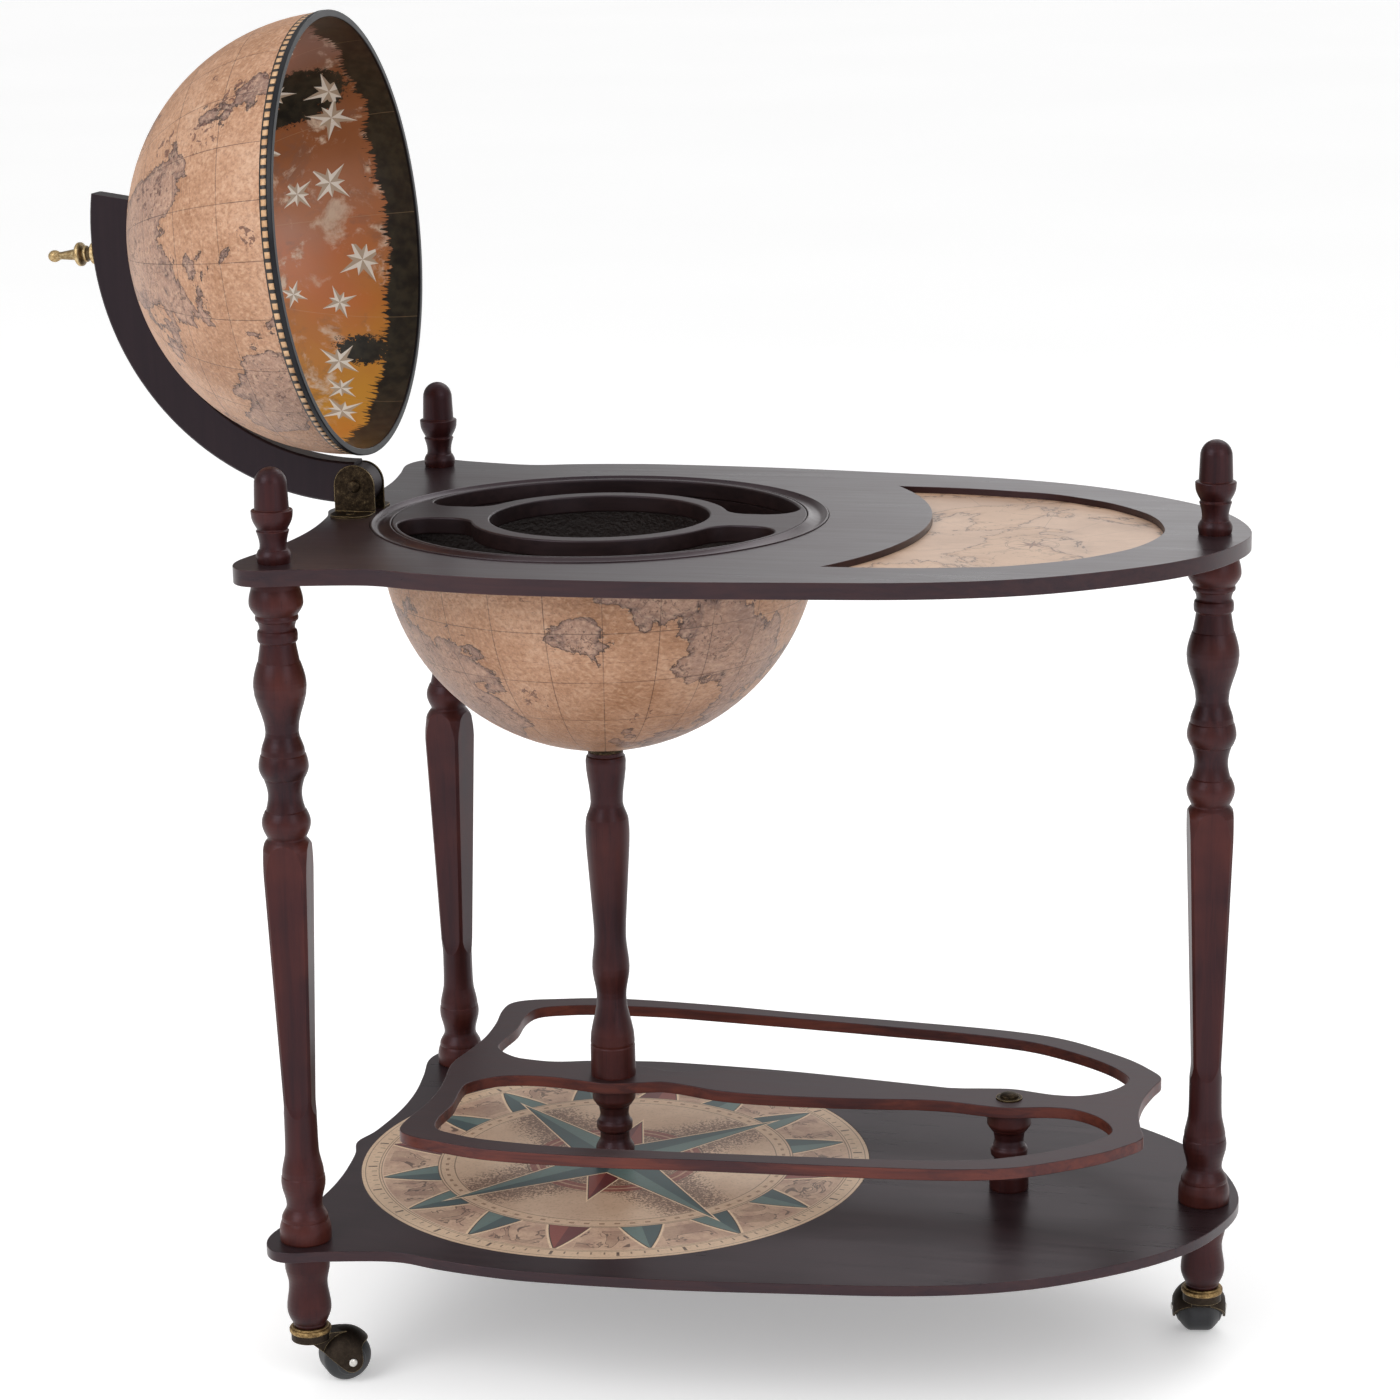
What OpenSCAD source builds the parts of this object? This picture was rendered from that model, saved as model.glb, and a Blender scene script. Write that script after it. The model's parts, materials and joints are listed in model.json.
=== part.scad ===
// Globe bar trolley: a globe that opens, set in the top shelf of a three-legged stand,
// with a shaped lower shelf, a bottle gallery over it, a lift-up half globe on a wooden
// meridian arm, and a ball caster under each leg.
// The stand is symmetric about the XZ plane, the long nose of the shelves points to +X,
// and the origin is on the floor under the middle of the whole object.

/* [Shelves] */
// Height of the top shelf's upper face above the floor
top_height = 631; // [600:1:680]
// Thickness of the top shelf
top_thick = 12; // [10:0.5:16]
// Height of the lower shelf's upper face above the floor
low_height = 116; // [110:1:150]
// Thickness of the lower shelf
low_thick = 8; // [6:0.5:12]
// Reach of both shelves from the globe's axis to the tip of the nose
nose_reach = 487; // [470:1:540]
// Reach of both shelves from the globe's axis to the back edge
back_reach = 214; // [212:1:236]
// Full width of both shelves
shelf_width = 457; // [440:1:500]
// Depth of the pocket that holds the compass print in the lower shelf
print_thick = 0.8; // [0.6:0.1:1.5]
// Distance from the back edge of the lower shelf to the compass print
compass_inset = 14.5; // [12:0.5:40]

/* [Map recess] */
// Distance from the nose of the top shelf to the map recess
map_nose_gap = 63; // [50:1:80]
// Width of the map recess
map_width = 314; // [260:1:330]
// Radius of the curved back edge of the map recess
map_back_r = 277; // [270:1:300]
// Depth of the map recess
map_depth = 6; // [3:0.5:8]
// Thickness of the map panel on the floor of the recess
map_thick = 1; // [0.8:0.1:2]

/* [Globe] */
// Outer diameter of the globe
globe_d = 330; // [310:1:334]
// Wall of both half globes
shell = 3; // [2.4:0.1:4]
// Thickness of the printed lining inside the upper half
lining = 0.8; // [0.6:0.1:1.2]
// Height of the closed upper half's edge over the top shelf
dome_lift = 6; // [5.5:0.5:10]
// How far the rim hoop stands out beyond the upper half
rim_proud = 1.2; // [0.8:0.1:3]
// Height of the rim hoop
rim_height = 3.6; // [3:0.1:6]

/* [Tray and ring] */
// Thickness of the bottle tray
tray_thick = 13; // [10:0.5:16]
// How far the tray stands over the top shelf
tray_proud = 1; // [0:0.1:1.4]
// Diameter of the round hole in the middle of the tray
well_d = 166; // [140:1:170]
// Width of the rib between the round hole and the curved openings
tray_rib = 14; // [10:1:20]
// Width of the two spokes of the tray
tray_spoke = 46; // [38:1:66]
// Wall outside the curved openings
tray_wall = 4; // [3.6:0.2:8]
// Radius of the outer corners of the curved openings
tray_corner = 23; // [8:1:23]
// Radius between the spokes and the rib
tray_fillet = 22; // [10:1:26]
// Wall of the hoop that carries the tray
hoop_wall = 4.8; // [3:0.1:6]
// Height of the ledge under the tray
ledge_height = 8; // [6:0.5:12]
// Width of the ring moulding outside the opening of the top shelf
ring_lap = 10.8; // [8:0.1:10.8]
// Depth of the rabbet that the ring moulding lies in
ring_depth = 4; // [3:0.5:5]
// Depth of the ring moulding's cove under the top shelf's upper face
ring_cove = 2.3; // [1:0.1:2.8]

/* [Lid hinge and arm] */
// Distance from the outside of the globe to the hinge pivot
pivot_gap = 24.5; // [24.5:0.5:25.5]
// Height of the hinge pivot over the top shelf
pivot_height = 21; // [20:0.5:24]
// Angle that the lid opens
open_angle = 94.5; // [80:0.5:100]
// Diameter of the hinge pin
pin_d = 6; // [5:0.5:7]
// Gap between the upper half globe and the arm
arm_gap = 7; // [6:0.5:10]
// Depth of the arm, measured outward from the globe
arm_depth = 32; // [26:1:36]
// Thickness of the arm, measured across the globe
arm_thick = 20; // [16:1:22]
// Angle that the arm runs on past the pole
arm_past = 13; // [9:1:20]
// Bevel along the edges of the arm
arm_bevel = 1.5; // [0.5:0.1:3]
// Radius of the arm's round end at the pivot
hub_r = 15.5; // [13:0.5:17]
// Gap between the arm and each bracket
cheek_gap = 0.6; // [0.4:0.1:1]
// Thickness of the bracket cheeks
cheek_thick = 1.6; // [1.2:0.1:3]
// Half of the width of a bracket
bracket_half = 16; // [13:0.5:16]
// Length of a bracket's foot, outward from its cheek
bracket_foot = 24; // [18:0.5:28]
// Thickness of a bracket's foot
foot_plate = 1.6; // [1.2:0.1:3]
// Diameter of the bolt at the pole
polar_d = 6; // [5:0.5:6.5]
// Length of the brass finial at the pole
pole_finial = 40; // [30:1:50]
// Largest diameter of the brass finial at the pole
pole_finial_d = 18.3; // [14:0.1:20]

/* [Legs] */
// Distance from the nose of the shelves to the axis of the right leg
leg_nose_inset = 26.3; // [24:0.1:32]
// Distance from the back edge of the shelves to the axes of the left legs
leg_back_inset = 26.5; // [24:0.1:32]
// Distance from the sides of the shelves to the axes of the left legs
leg_side_inset = 30.1; // [28:0.1:36]
// Diameter of a leg at its widest
leg_d = 41.4; // [38:0.1:46]
// Width across the flats at the top of the square taper
flats_top = 31.4; // [28:0.1:34]
// Width across the flats at the foot of the square taper
flats_foot = 20.8; // [18:0.1:23]
// Height of a finial on the top shelf
finial_height = 69; // [56:1:84]
// Diameter of a finial at its widest
finial_d = 30; // [25:0.1:34]
// Diameter of a foot under the lower shelf
foot_d = 34; // [30:0.1:38]
// Diameter of the studs that join legs, shelves, finials and feet
stud_d = 8; // [6:0.5:9]
// Length of a stud in a leg or finial
stud_grip = 22; // [16:1:26]

/* [Casters] */
// Height of a caster, from the floor to the end of the foot
caster_height = 44; // [43.5:0.5:50]
// Diameter of a caster wheel
wheel_d = 37; // [32:0.5:38]
// Width of a caster wheel at its hub
wheel_width = 36; // [32:0.5:37]
// Distance from the swivel axis to the wheel's axle
trail = 26; // [24:0.5:30]
// Wall of the caster hood
hood_wall = 1.5; // [1.2:0.1:2]
// Radius of the hood's ears round the axle
hood_ear = 8; // [6:0.5:9]
// Height of the hood's far lip over the axle
hood_lip = 12; // [9:0.5:15]
// Width of the neck between the swivel plate and the hood
neck_width = 15; // [12:1:24]
// Diameter of the swivel plate
swivel_d = 29; // [24:0.5:32]
// Diameter of the caster stem
stem_d = 8; // [6:0.5:9]
// Length of the stem inside the foot
stem_grip = 26; // [20:1:28]
// Diameter of the axle
axle_d = 4; // [3:0.5:5]

/* [Gallery and post] */
// Height of the gallery's upper face above the floor
gallery_height = 188; // [168:1:230]
// Thickness of the gallery
gallery_thick = 9; // [7:0.5:14]
// Distance from the nose of the shelf to the nose of the gallery
gallery_nose_gap = 66; // [60:1:80]
// Distance from the back edge of the shelf to the back of the gallery
gallery_back_gap = 82; // [76:1:90]
// Distance from each side of the shelf to the side of the gallery
gallery_side_gap = 50.5; // [44:0.5:60]
// Largest diameter of the centre post
post_d = 35; // [31:0.1:40]
// Diameter of the washer between the post and the globe
post_washer_d = 26; // [20:0.5:30]
// Thickness of the washer between the post and the globe
post_washer_thick = 5; // [3:0.5:7]
// Largest diameter of the two spacers under the gallery
spacer_d = 33.8; // [30:0.1:38]
// Diameter of the tie rod and of the gallery bolt
rod_d = 6; // [5:0.5:8]
// Diameter of the washer on the gallery
gallery_washer_d = 20; // [16:0.5:24]
// Diameter of the cap of the gallery bolt
cap_d = 14; // [10:0.1:16]

/* [Hidden] */
$fn = 96;

// Clearances
seat_play = 0.2;
run_play = 0.05;
face_play = 0.3;
pocket_play = 0.2;
over = 1;

// Heights
top_under = top_height - top_thick;
low_under = low_height - low_thick;
gallery_under = gallery_height - gallery_thick;
bowl_z = top_under;
dome_z = top_height + dome_lift;
pivot_z = top_height + pivot_height;
tray_top = top_height + tray_proud;
tray_under = tray_top - tray_thick;
hoop_under = tray_under - ledge_height;
rabbet_z = top_height - ring_depth;

// Radii round the globe's axis
globe_r = globe_d / 2;
inner_r = globe_r - shell;
opening_r = inner_r + seat_play;
hoop_drop = max(0, bowl_z - hoop_under);
hoop_out = sqrt(inner_r * inner_r - hoop_drop * hoop_drop) - seat_play;
hoop_in = hoop_out - hoop_wall;
tray_r = hoop_in - 2 * seat_play;
kidney_out = tray_r - tray_wall;
kidney_in = well_d / 2 + tray_rib;
rabbet_r = opening_r + ring_lap;
ring_out = rabbet_r - 0.5;
ring_in = tray_r + 2 * seat_play;
compass_r = back_reach - compass_inset;

// Lid
pivot_x = globe_r + pivot_gap;
arm_in = globe_r + arm_gap;
arm_out = arm_in + arm_depth;
tip_r = arm_out + pole_finial;
pivot_rise = pivot_height - dome_lift;
pivot_turn = 180 - atan2(pivot_rise, pivot_x);
lining_r = inner_r - 0.1 - lining;
nut_top = sqrt(lining_r * lining_r - 11 * 11) - face_play;
collar_d = 16;
cheek_y = arm_thick / 2 + cheek_gap;
bracket_y = cheek_y + bracket_foot;
screw_y = cheek_y + bracket_foot * 0.5;
screw_d = 3;
screw_grip = 9;
collar_top = sqrt(arm_in * arm_in - collar_d * collar_d / 4) - 0.02;

// Reach of the lid's brass tip behind the globe's axis, and the shift that centres the whole
tip_back = pivot_x - pivot_x * cos(open_angle) + (tip_r - pivot_rise) * sin(open_angle);
shift_x = (tip_back - nose_reach) / 2;

// Legs: places, turns of the square part and turns of the casters
leg_x_left = -(back_reach - leg_back_inset);
leg_x_right = nose_reach - leg_nose_inset;
leg_y = shelf_width / 2 - leg_side_inset;
leg_at = [[leg_x_left, -leg_y], [leg_x_left, leg_y], [leg_x_right, 0]];
leg_turn = [8, -12, 12];
caster_turn = [37, 170, 100];
leg_length = top_under - low_height;
foot_length = low_under - caster_height;
foot_stud = 18;

// Caster
wheel_r = wheel_d / 2;
cheek_in = wheel_width / 2 + 0.5;
cheek_out = cheek_in + hood_wall;
ball_r = max(sqrt(wheel_r * wheel_r + 6.5 * 6.5), wheel_width / 2 + 1.5) + 0.45;
hood_r = ball_r + hood_wall;
swivel_top = caster_height - 2;
cup_under = swivel_top + face_play;
swivel_thick = 6;

// Gallery and post
pole_z = bowl_z - globe_r;
post_top = pole_z - post_washer_thick;
nut_h = 5;
washer_h = 1.2;
bowl_floor = bowl_z - sqrt(inner_r * inner_r - 81);

// Half of the shelf outline, from the back to the nose
shelf_half = [
    [-214, 0], [-207, 27], [-202, 75], [-203, 118], [-209, 160], [-216, 197], [-210, 220],
    [-194, 229], [-165, 221], [-115, 212], [-78, 220], [-40, 226], [0, 228.5], [90, 225],
    [180, 215], [273, 202], [344, 179], [400, 144], [444, 104], [472, 60], [487, 0]
];

// Half of the gallery's outer edge, from the back to the nose
gallery_half = [
    [-132, 0], [-127, 36], [-124, 66], [-125, 98], [-129, 130], [-127, 150], [-114, 161],
    [-91, 168], [-58, 176], [-15, 178], [50, 175], [109, 169], [200, 163], [270, 157],
    [312, 150], [340, 140], [367, 123], [393, 103], [410, 84], [421, 66], [417, 44],
    [413, 20], [412, 0]
];

// One opening of the gallery, a closed ring of points
gallery_loop = [
    [-106, 42], [-107, 62], [-104, 90], [-106, 120], [-101, 141], [-82, 151], [-55, 157.5],
    [0, 161], [50, 158.5], [100, 155], [150, 151], [208, 146], [252, 142], [305, 132.5],
    [340, 116], [370, 95], [388, 76], [397, 58], [392, 40], [380, 25], [363, 15], [345, 14],
    [330, 17], [312, 21], [292, 19], [270, 15.5], [245, 15.5], [215, 19.5], [180, 23.5],
    [143, 26], [110, 26], [85, 23], [60, 15.5], [42, 12.5], [25, 17.5], [0, 24],
    [-22, 20.5], [-45, 17], [-70, 18], [-90, 25]
];

// Half of the map recess's outer edge, from its back corner to its nose
map_half = [
    [201, 157], [256, 154], [297, 146], [324, 139], [350, 124], [375, 105], [400, 75],
    [412, 53], [420, 28], [424, 0]
];

// Turnings: [height, diameter, curve up to here], with curve 0 straight, 1 an S,
// 2 leaving steeply and arriving flat, 3 leaving flat and arriving steeply, 4 a round end
leg_turning = [
    [0, 37.6, 0], [1.2, 38.5, 2], [8, 38.5, 0], [14.5, 36, 3], [16.4, 34.4, 0], [17.2, 34.8, 0],
    [28, 26.4, 1], [46, 32.9, 1], [50.4, 32.2, 3], [51, 31.4, 0], [72, 25, 1], [80, 24.6, 0],
    [97, 24.4, 0], [110, 26.5, 3], [285, 41.4, 0], [294, 40.4, 3], [302, 38, 0], [309, 32, 3],
    [311, 28.6, 0], [312, 28.2, 0], [323, 35.6, 2], [331.8, 30.4, 3], [332.6, 28.6, 0],
    [333.4, 28.2, 0], [344, 24.7, 2], [355.4, 29.2, 3], [356.6, 29.6, 0], [357, 31, 0],
    [365, 36.3, 2], [373.6, 33.2, 3], [374.4, 31.8, 0], [375.2, 31.8, 0], [391, 24.1, 1],
    [425, 38.5, 1], [442.2, 31.2, 3], [442.8, 30.2, 0], [456, 25.8, 0], [457, 25.6, 0],
    [457.6, 27.8, 0], [459, 29, 2], [462, 29.3, 0], [465.4, 28.4, 3], [466.6, 26, 0],
    [467.4, 25.6, 0], [472.6, 28.4, 3], [473.4, 30.6, 0], [475, 31.2, 2], [476.6, 30.6, 3],
    [477.2, 30.2, 0], [486, 39.2, 2], [497, 35, 3], [503, 34, 0]
];
finial_turning = [
    [0, 23.6, 0], [5, 25, 2], [9.4, 21.6, 3], [10, 20.2, 0], [13, 19.4, 2], [22.4, 23.2, 3],
    [23.3, 23.8, 0], [24.2, 22, 0], [24.9, 22, 0], [35, 29.6, 2], [37.6, 30, 0], [38.4, 29, 3],
    [39, 24.8, 0], [57, 23.4, 0], [69, 0, 4]
];
foot_turning = [
    [0, 18.7, 0], [6, 25.5, 2], [17.6, 33.1, 2], [37, 28.8, 1], [52, 33.6, 1], [64, 34, 0]
];
post_turning = [
    [0, 35, 0], [24, 34.8, 0], [25, 33.8, 0], [27, 34.6, 0], [64, 23, 1], [88, 29.2, 1],
    [113, 24.9, 1], [125, 25.6, 3], [177, 32.4, 0], [197, 34.1, 2], [205, 33.3, 3],
    [221, 24.9, 1], [253, 31, 1], [257.4, 29.6, 3], [258, 27.6, 0], [261, 27, 0]
];
spacer_turning = [
    [0, 29.6, 0], [1, 30.2, 0], [11, 30.3, 0], [20, 23, 1], [25, 23, 0], [28, 28, 2],
    [32, 28.3, 0], [36, 24, 1], [40, 22.4, 2], [45, 24, 0], [49, 29.4, 1], [53, 33.8, 2],
    [63, 33.8, 0]
];
pole_turning = [
    [0, 16, 0], [0.6, 16.8, 2], [2.6, 16.8, 0], [3.8, 14.6, 3], [4.2, 11.4, 0], [5.6, 10.2, 2],
    [7.2, 11, 3], [7.6, 12.4, 0], [8.6, 12.8, 2], [9.6, 12.2, 3], [10, 13.2, 0], [12.6, 18.3, 2],
    [14.2, 18.3, 0], [16.2, 15, 3], [16.6, 9.4, 0], [18, 8.6, 0], [29, 5.8, 0], [30.4, 5.8, 0],
    [34.8, 9.2, 2], [40, 0, 4]
];

// Height share and size share of a step at s, for each kind of curve
function along(k, s) = k == 4 ? sin(90 * s) : s;
function eased(k, s) =
    k == 1 ? (1 - cos(180 * s)) / 2
    : k == 2 ? sin(90 * s)
    : k >= 3 ? 1 - cos(90 * s)
    : s;

// Length and largest diameter that a turning is drawn with
function drawn_length(st) = st[len(st) - 1][0];
function drawn_width(st) = max([for (q = st) q[1]]);

// Points [radius, height] of a turning, stretched to its length and diameter
function turned(st, kz, kd) = [
    for (i = [1 : len(st) - 1])
        let (a = st[i - 1], b = st[i], m = b[2] == 0 ? 1 : b[2] == 4 ? 9 : 5)
        for (j = [(i == 1 ? 0 : 1) : m])
            [(a[1] + (b[1] - a[1]) * eased(b[2], j / m)) * kd / 2,
             (a[0] + (b[0] - a[0]) * along(b[2], j / m)) * kz]
];

// Smooth curve through points: one step of it, a closed ring and an open run
function step_at(a, b, c, d, t) =
    0.5 * (2 * b + (c - a) * t + (2 * a - 5 * b + 4 * c - d) * t * t
           + (3 * b - a - 3 * c + d) * t * t * t);
function ring_curve(p, n) = let (m = len(p)) [
    for (i = [0 : m - 1]) for (k = [0 : n - 1])
        step_at(p[(i + m - 1) % m], p[i], p[(i + 1) % m], p[(i + 2) % m], k / n)
];
function run_curve(p, n) = let (m = len(p)) concat([
    for (i = [0 : m - 2]) for (k = [0 : n - 1])
        step_at(p[max(i - 1, 0)], p[i], p[i + 1], p[min(i + 2, m - 1)], k / n)
], [p[m - 1]]);

// The other half of an outline whose two ends lie on the X axis
function both_halves(h) = concat(h, [for (i = [len(h) - 2 : -1 : 1]) [h[i][0], -h[i][1]]]);

// Points stretched about the globe's axis: backwards, forwards and sideways
function stretched(p, kb, kn, ky) = [for (q = p) [q[0] * (q[0] < 0 ? kb : kn), q[1] * ky]];

// A closed ring of points, drawn clockwise, moved inward
function drawn_in(p, d) = let (m = len(p)) [
    for (i = [0 : m - 1])
        let (t = p[(i + 1) % m] - p[(i + m - 1) % m])
        p[i] + d * [t[1], -t[0]] / norm(t)
];

// An arc of points
function arc(x, y, r, a0, a1, n) =
    [for (i = [0 : n]) let (a = a0 + (a1 - a0) * i / n) [x + r * cos(a), y + r * sin(a)]];

// How far an outline is drawn backwards, forwards and sideways
function drawn_back(p) = -min([for (q = p) q[0]]);
function drawn_nose(p) = max([for (q = p) q[0]]);
function drawn_side(p) = max([for (q = p) q[1]]);

// The shelf is drawn to its back edge's middle, and its left corners reach a little further
shelf_kb = -back_reach / shelf_half[0][0];
shelf_kn = nose_reach / drawn_nose(shelf_half);
shelf_ky = shelf_width / 2 / shelf_half[12][1];
function shelf_outline() =
    ring_curve(both_halves(stretched(shelf_half, shelf_kb, shelf_kn, shelf_ky)), 6);

gallery_kb = (back_reach - gallery_back_gap) / drawn_back(gallery_half);
gallery_kn = (nose_reach - gallery_nose_gap) / drawn_nose(gallery_half);
gallery_ky = (shelf_width / 2 - gallery_side_gap) / drawn_side(gallery_half);
rail_x = 312 * gallery_kn;

// Map recess: its outer edge, then the curved back edge round the globe's side
map_drawn_x = map_half[0][0];
map_corner_x = map_drawn_x * shelf_kn;
map_kx = (nose_reach - map_nose_gap - map_corner_x) / (drawn_nose(map_half) - map_drawn_x);
map_ky = map_width / 2 / drawn_side(map_half);
map_fitted = [for (q = map_half)
    [map_corner_x + (q[0] - map_drawn_x) * map_kx, q[1] * map_ky]];
map_mirror = [for (i = [len(map_fitted) - 2 : -1 : 0]) [map_fitted[i][0], -map_fitted[i][1]]];
map_back_x = map_corner_x - sqrt(map_back_r * map_back_r - map_width * map_width / 4);
map_back_turn = asin(map_width / 2 / map_back_r);
function map_outline() = concat(
    run_curve(concat(map_fitted, map_mirror), 4),
    [for (i = [1 : 23]) let (a = map_back_turn * (i / 12 - 1))
        [map_back_x + map_back_r * cos(a), map_back_r * sin(a)]]
);

// Frames of the modules
module in_frame() {
    translate([shift_x, 0, 0]) children();
}

// Local frame of the lid: the closed globe's centre is the origin and its pole is +Z
module in_lid() {
    in_frame()
        translate([-pivot_x, 0, pivot_z])
        rotate([0, -open_angle, 0])
        translate([pivot_x, 0, -pivot_rise])
        children();
}

module at_leg(i) {
    in_frame() translate([leg_at[i][0], leg_at[i][1], 0]) children();
}

// Local frame of a caster: the swivel axis is +Z and the wheel lies towards +X
module at_caster(i) {
    at_leg(i) rotate([0, 0, caster_turn[i]]) children();
}

module turning(st, length, d) {
    p = turned(st, length / drawn_length(st), d / drawn_width(st));
    rotate_extrude() polygon(concat([[0, 0]], p, p[len(p) - 1][0] > 0 ? [[0, length]] : []));
}

module slab(pts, z0, z1) {
    translate([0, 0, z0]) linear_extrude(z1 - z0) polygon(pts);
}

module hole(x, y, d, z0, z1) {
    translate([x, y, z0]) cylinder(d = d, h = z1 - z0);
}

module stud_holes(z0, z1) {
    for (q = leg_at) hole(q[0], q[1], stud_d + 2 * seat_play, z0, z1);
}

// Shelves and their prints
module lower_shelf() {
    color("#5a3a2e") in_frame() difference() {
        slab(shelf_outline(), low_under, low_height);
        hole(0, 0, 2 * (compass_r + pocket_play), low_height - print_thick, low_height + over);
        hole(0, 0, rod_d + 2 * seat_play, low_under - over, low_height + over);
        hole(rail_x, 0, rod_d + 2 * seat_play, low_under - over, low_height + over);
        stud_holes(low_under - over, low_height + over);
    }
}

module compass_print() {
    color("#c8a878") in_frame() difference() {
        hole(0, 0, 2 * compass_r, low_height - print_thick, low_height);
        hole(0, 0, rod_d + 2 * seat_play, low_under, low_height + over);
    }
}

module top_shelf() {
    color("#5a3a2e") in_frame() difference() {
        slab(shelf_outline(), top_under, top_height);
        hole(0, 0, 2 * opening_r, top_under - over, top_height + over);
        hole(0, 0, 2 * rabbet_r, rabbet_z, top_height + over);
        slab(map_outline(), top_height - map_depth, top_height + over);
        stud_holes(top_under - over, top_height + over);
        for (s = [-1, 1])
            hole(-pivot_x, s * screw_y, screw_d + 2 * seat_play,
                top_height - screw_grip - over, top_height + over);
    }
}

module map_print() {
    color("#d8c49a") in_frame()
        slab(drawn_in(map_outline(), pocket_play), top_height - map_depth,
            top_height - map_depth + map_thick);
}

// Ring moulding: a narrow lip at the outer edge, then a cove that rises to the tray's face
module ring_moulding() {
    low = top_height - ring_cove;
    deep = ring_in + (ring_out - ring_in) * 0.58;
    lip = ring_out - 1.6;
    edge = tray_top - 0.2;
    color("#6b4630") in_frame() rotate_extrude($fn = 160) polygon(concat(
        [[ring_in, rabbet_z], [ring_out, rabbet_z], [ring_out, top_height + 0.3]],
        arc(ring_out - 0.5, top_height + 0.3, 0.5, 0, 90, 3),
        [[lip + 0.5, top_height + 0.8]],
        [for (i = [0 : 12]) let (s = i / 12)
            [lip - s * (lip - deep), low + (top_height + 0.5 - low) * pow(1 - s, 2)]],
        [for (i = [1 : 12]) let (s = i / 12)
            [deep - s * (deep - ring_in - 1), low + (edge - low) * pow(s, 1.7)]],
        [[ring_in + 0.4, edge], [ring_in, edge - 0.3]]
    ));
}

// Hoop with a ledge that carries the tray
module bowl_hoop() {
    ledge_in = kidney_out + 0.5;
    color("#3a2a22") in_frame() rotate_extrude($fn = 160) polygon([
        [ledge_in, hoop_under], [hoop_out, hoop_under], [hoop_out, rabbet_z],
        [hoop_in, rabbet_z], [hoop_in, tray_under], [ledge_in, tray_under]
    ]);
}

// One curved opening of the tray, on the +Y side, with round corners
module kidney(z0, z1) {
    c = tray_corner;
    f = tray_fillet;
    h = tray_spoke / 2;
    ai = asin((h + f) / (kidney_in + f));
    ao = asin((h + c) / (kidney_out - c));
    xi = (kidney_in + f) * cos(ai);
    xo = (kidney_out - c) * cos(ao);
    slab(concat(
        arc(0, 0, kidney_in, 180 - ai, ai, 40),
        arc(xi, h + f, f, 180 + ai, 270, 10),
        arc(xo, h + c, c, 270, 360 + ao, 10),
        arc(0, 0, kidney_out, ao, 180 - ao, 56),
        arc(-xo, h + c, c, 180 - ao, 270, 10),
        arc(-xi, h + f, f, 270, 360 - ai, 10)
    ), z0, z1);
}

module bottle_tray() {
    color("#4a2f24") in_frame() difference() {
        hole(0, 0, 2 * tray_r, tray_under, tray_top);
        hole(0, 0, well_d, tray_under - over, tray_top + over);
        for (s = [0, 1]) mirror([0, s, 0]) kidney(tray_under - over, tray_top + over);
    }
}

module globe_bowl() {
    color("#b07a48") in_frame() difference() {
        translate([0, 0, bowl_z]) sphere(r = globe_r, $fn = 160);
        translate([0, 0, bowl_z]) sphere(r = inner_r, $fn = 160);
        translate([-globe_d, -globe_d, bowl_z]) cube([2 * globe_d, 2 * globe_d, globe_d]);
        hole(0, 0, rod_d + 2 * seat_play, pole_z - over, bowl_floor + over);
    }
}

// Gallery over the lower shelf, with two bosses on the centre line
module gallery() {
    loop = ring_curve(stretched(gallery_loop, gallery_kb, gallery_kn, gallery_ky), 4);
    color("#4a3028") in_frame() difference() {
        slab(ring_curve(both_halves(stretched(gallery_half,
            gallery_kb, gallery_kn, gallery_ky)), 5), gallery_under, gallery_height);
        for (s = [0, 1]) mirror([0, s, 0])
            slab(loop, gallery_under - over, gallery_height + over);
        hole(0, 0, rod_d + 2 * seat_play, gallery_under - over, gallery_height + over);
        hole(rail_x, 0, rod_d + 2 * seat_play, gallery_under - over, gallery_height + over);
    }
}

module centre_post() {
    length = post_top - gallery_height;
    color("#4a2a20") in_frame() difference() {
        translate([0, 0, gallery_height]) turning(post_turning, length, post_d);
        hole(0, 0, rod_d + 2 * seat_play, gallery_height - over, post_top + over);
    }
}

module post_washer() {
    color("#8a6a34") in_frame() difference() {
        hole(0, 0, post_washer_d, post_top, pole_z);
        hole(0, 0, rod_d + 2 * seat_play, post_top - over, pole_z + over);
    }
}

// Rod from under the lower shelf to the inside of the bowl
module tie_rod() {
    color("#9a9a98") in_frame()
        hole(0, 0, rod_d, low_under - washer_h - nut_h - 2, bowl_floor + washer_h + nut_h + 2);
}

module nut_and_washer(d) {
    difference() {
        union() {
            cylinder(d = 3 * d, h = washer_h);
            translate([0, 0, washer_h]) cylinder(d = 1.9 * d, h = nut_h, $fn = 6);
        }
        translate([0, 0, -over]) cylinder(d = d + 0.1, h = nut_h + washer_h + 2 * over);
    }
}

module rod_nuts() {
    color("#9a9a98") in_frame() {
        translate([0, 0, bowl_floor]) nut_and_washer(rod_d);
        for (x = [0, rail_x])
            translate([x, 0, low_under]) mirror([0, 0, 1]) nut_and_washer(rod_d);
    }
}

module spacer(x) {
    length = gallery_under - low_height;
    color("#4a2a20") in_frame() difference() {
        translate([x, 0, low_height]) turning(spacer_turning, length, spacer_d);
        hole(x, 0, rod_d + 2 * seat_play, low_height - over, gallery_under + over);
    }
}

module post_spacer() {
    spacer(0);
}

module rail_spacer() {
    spacer(rail_x);
}

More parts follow.
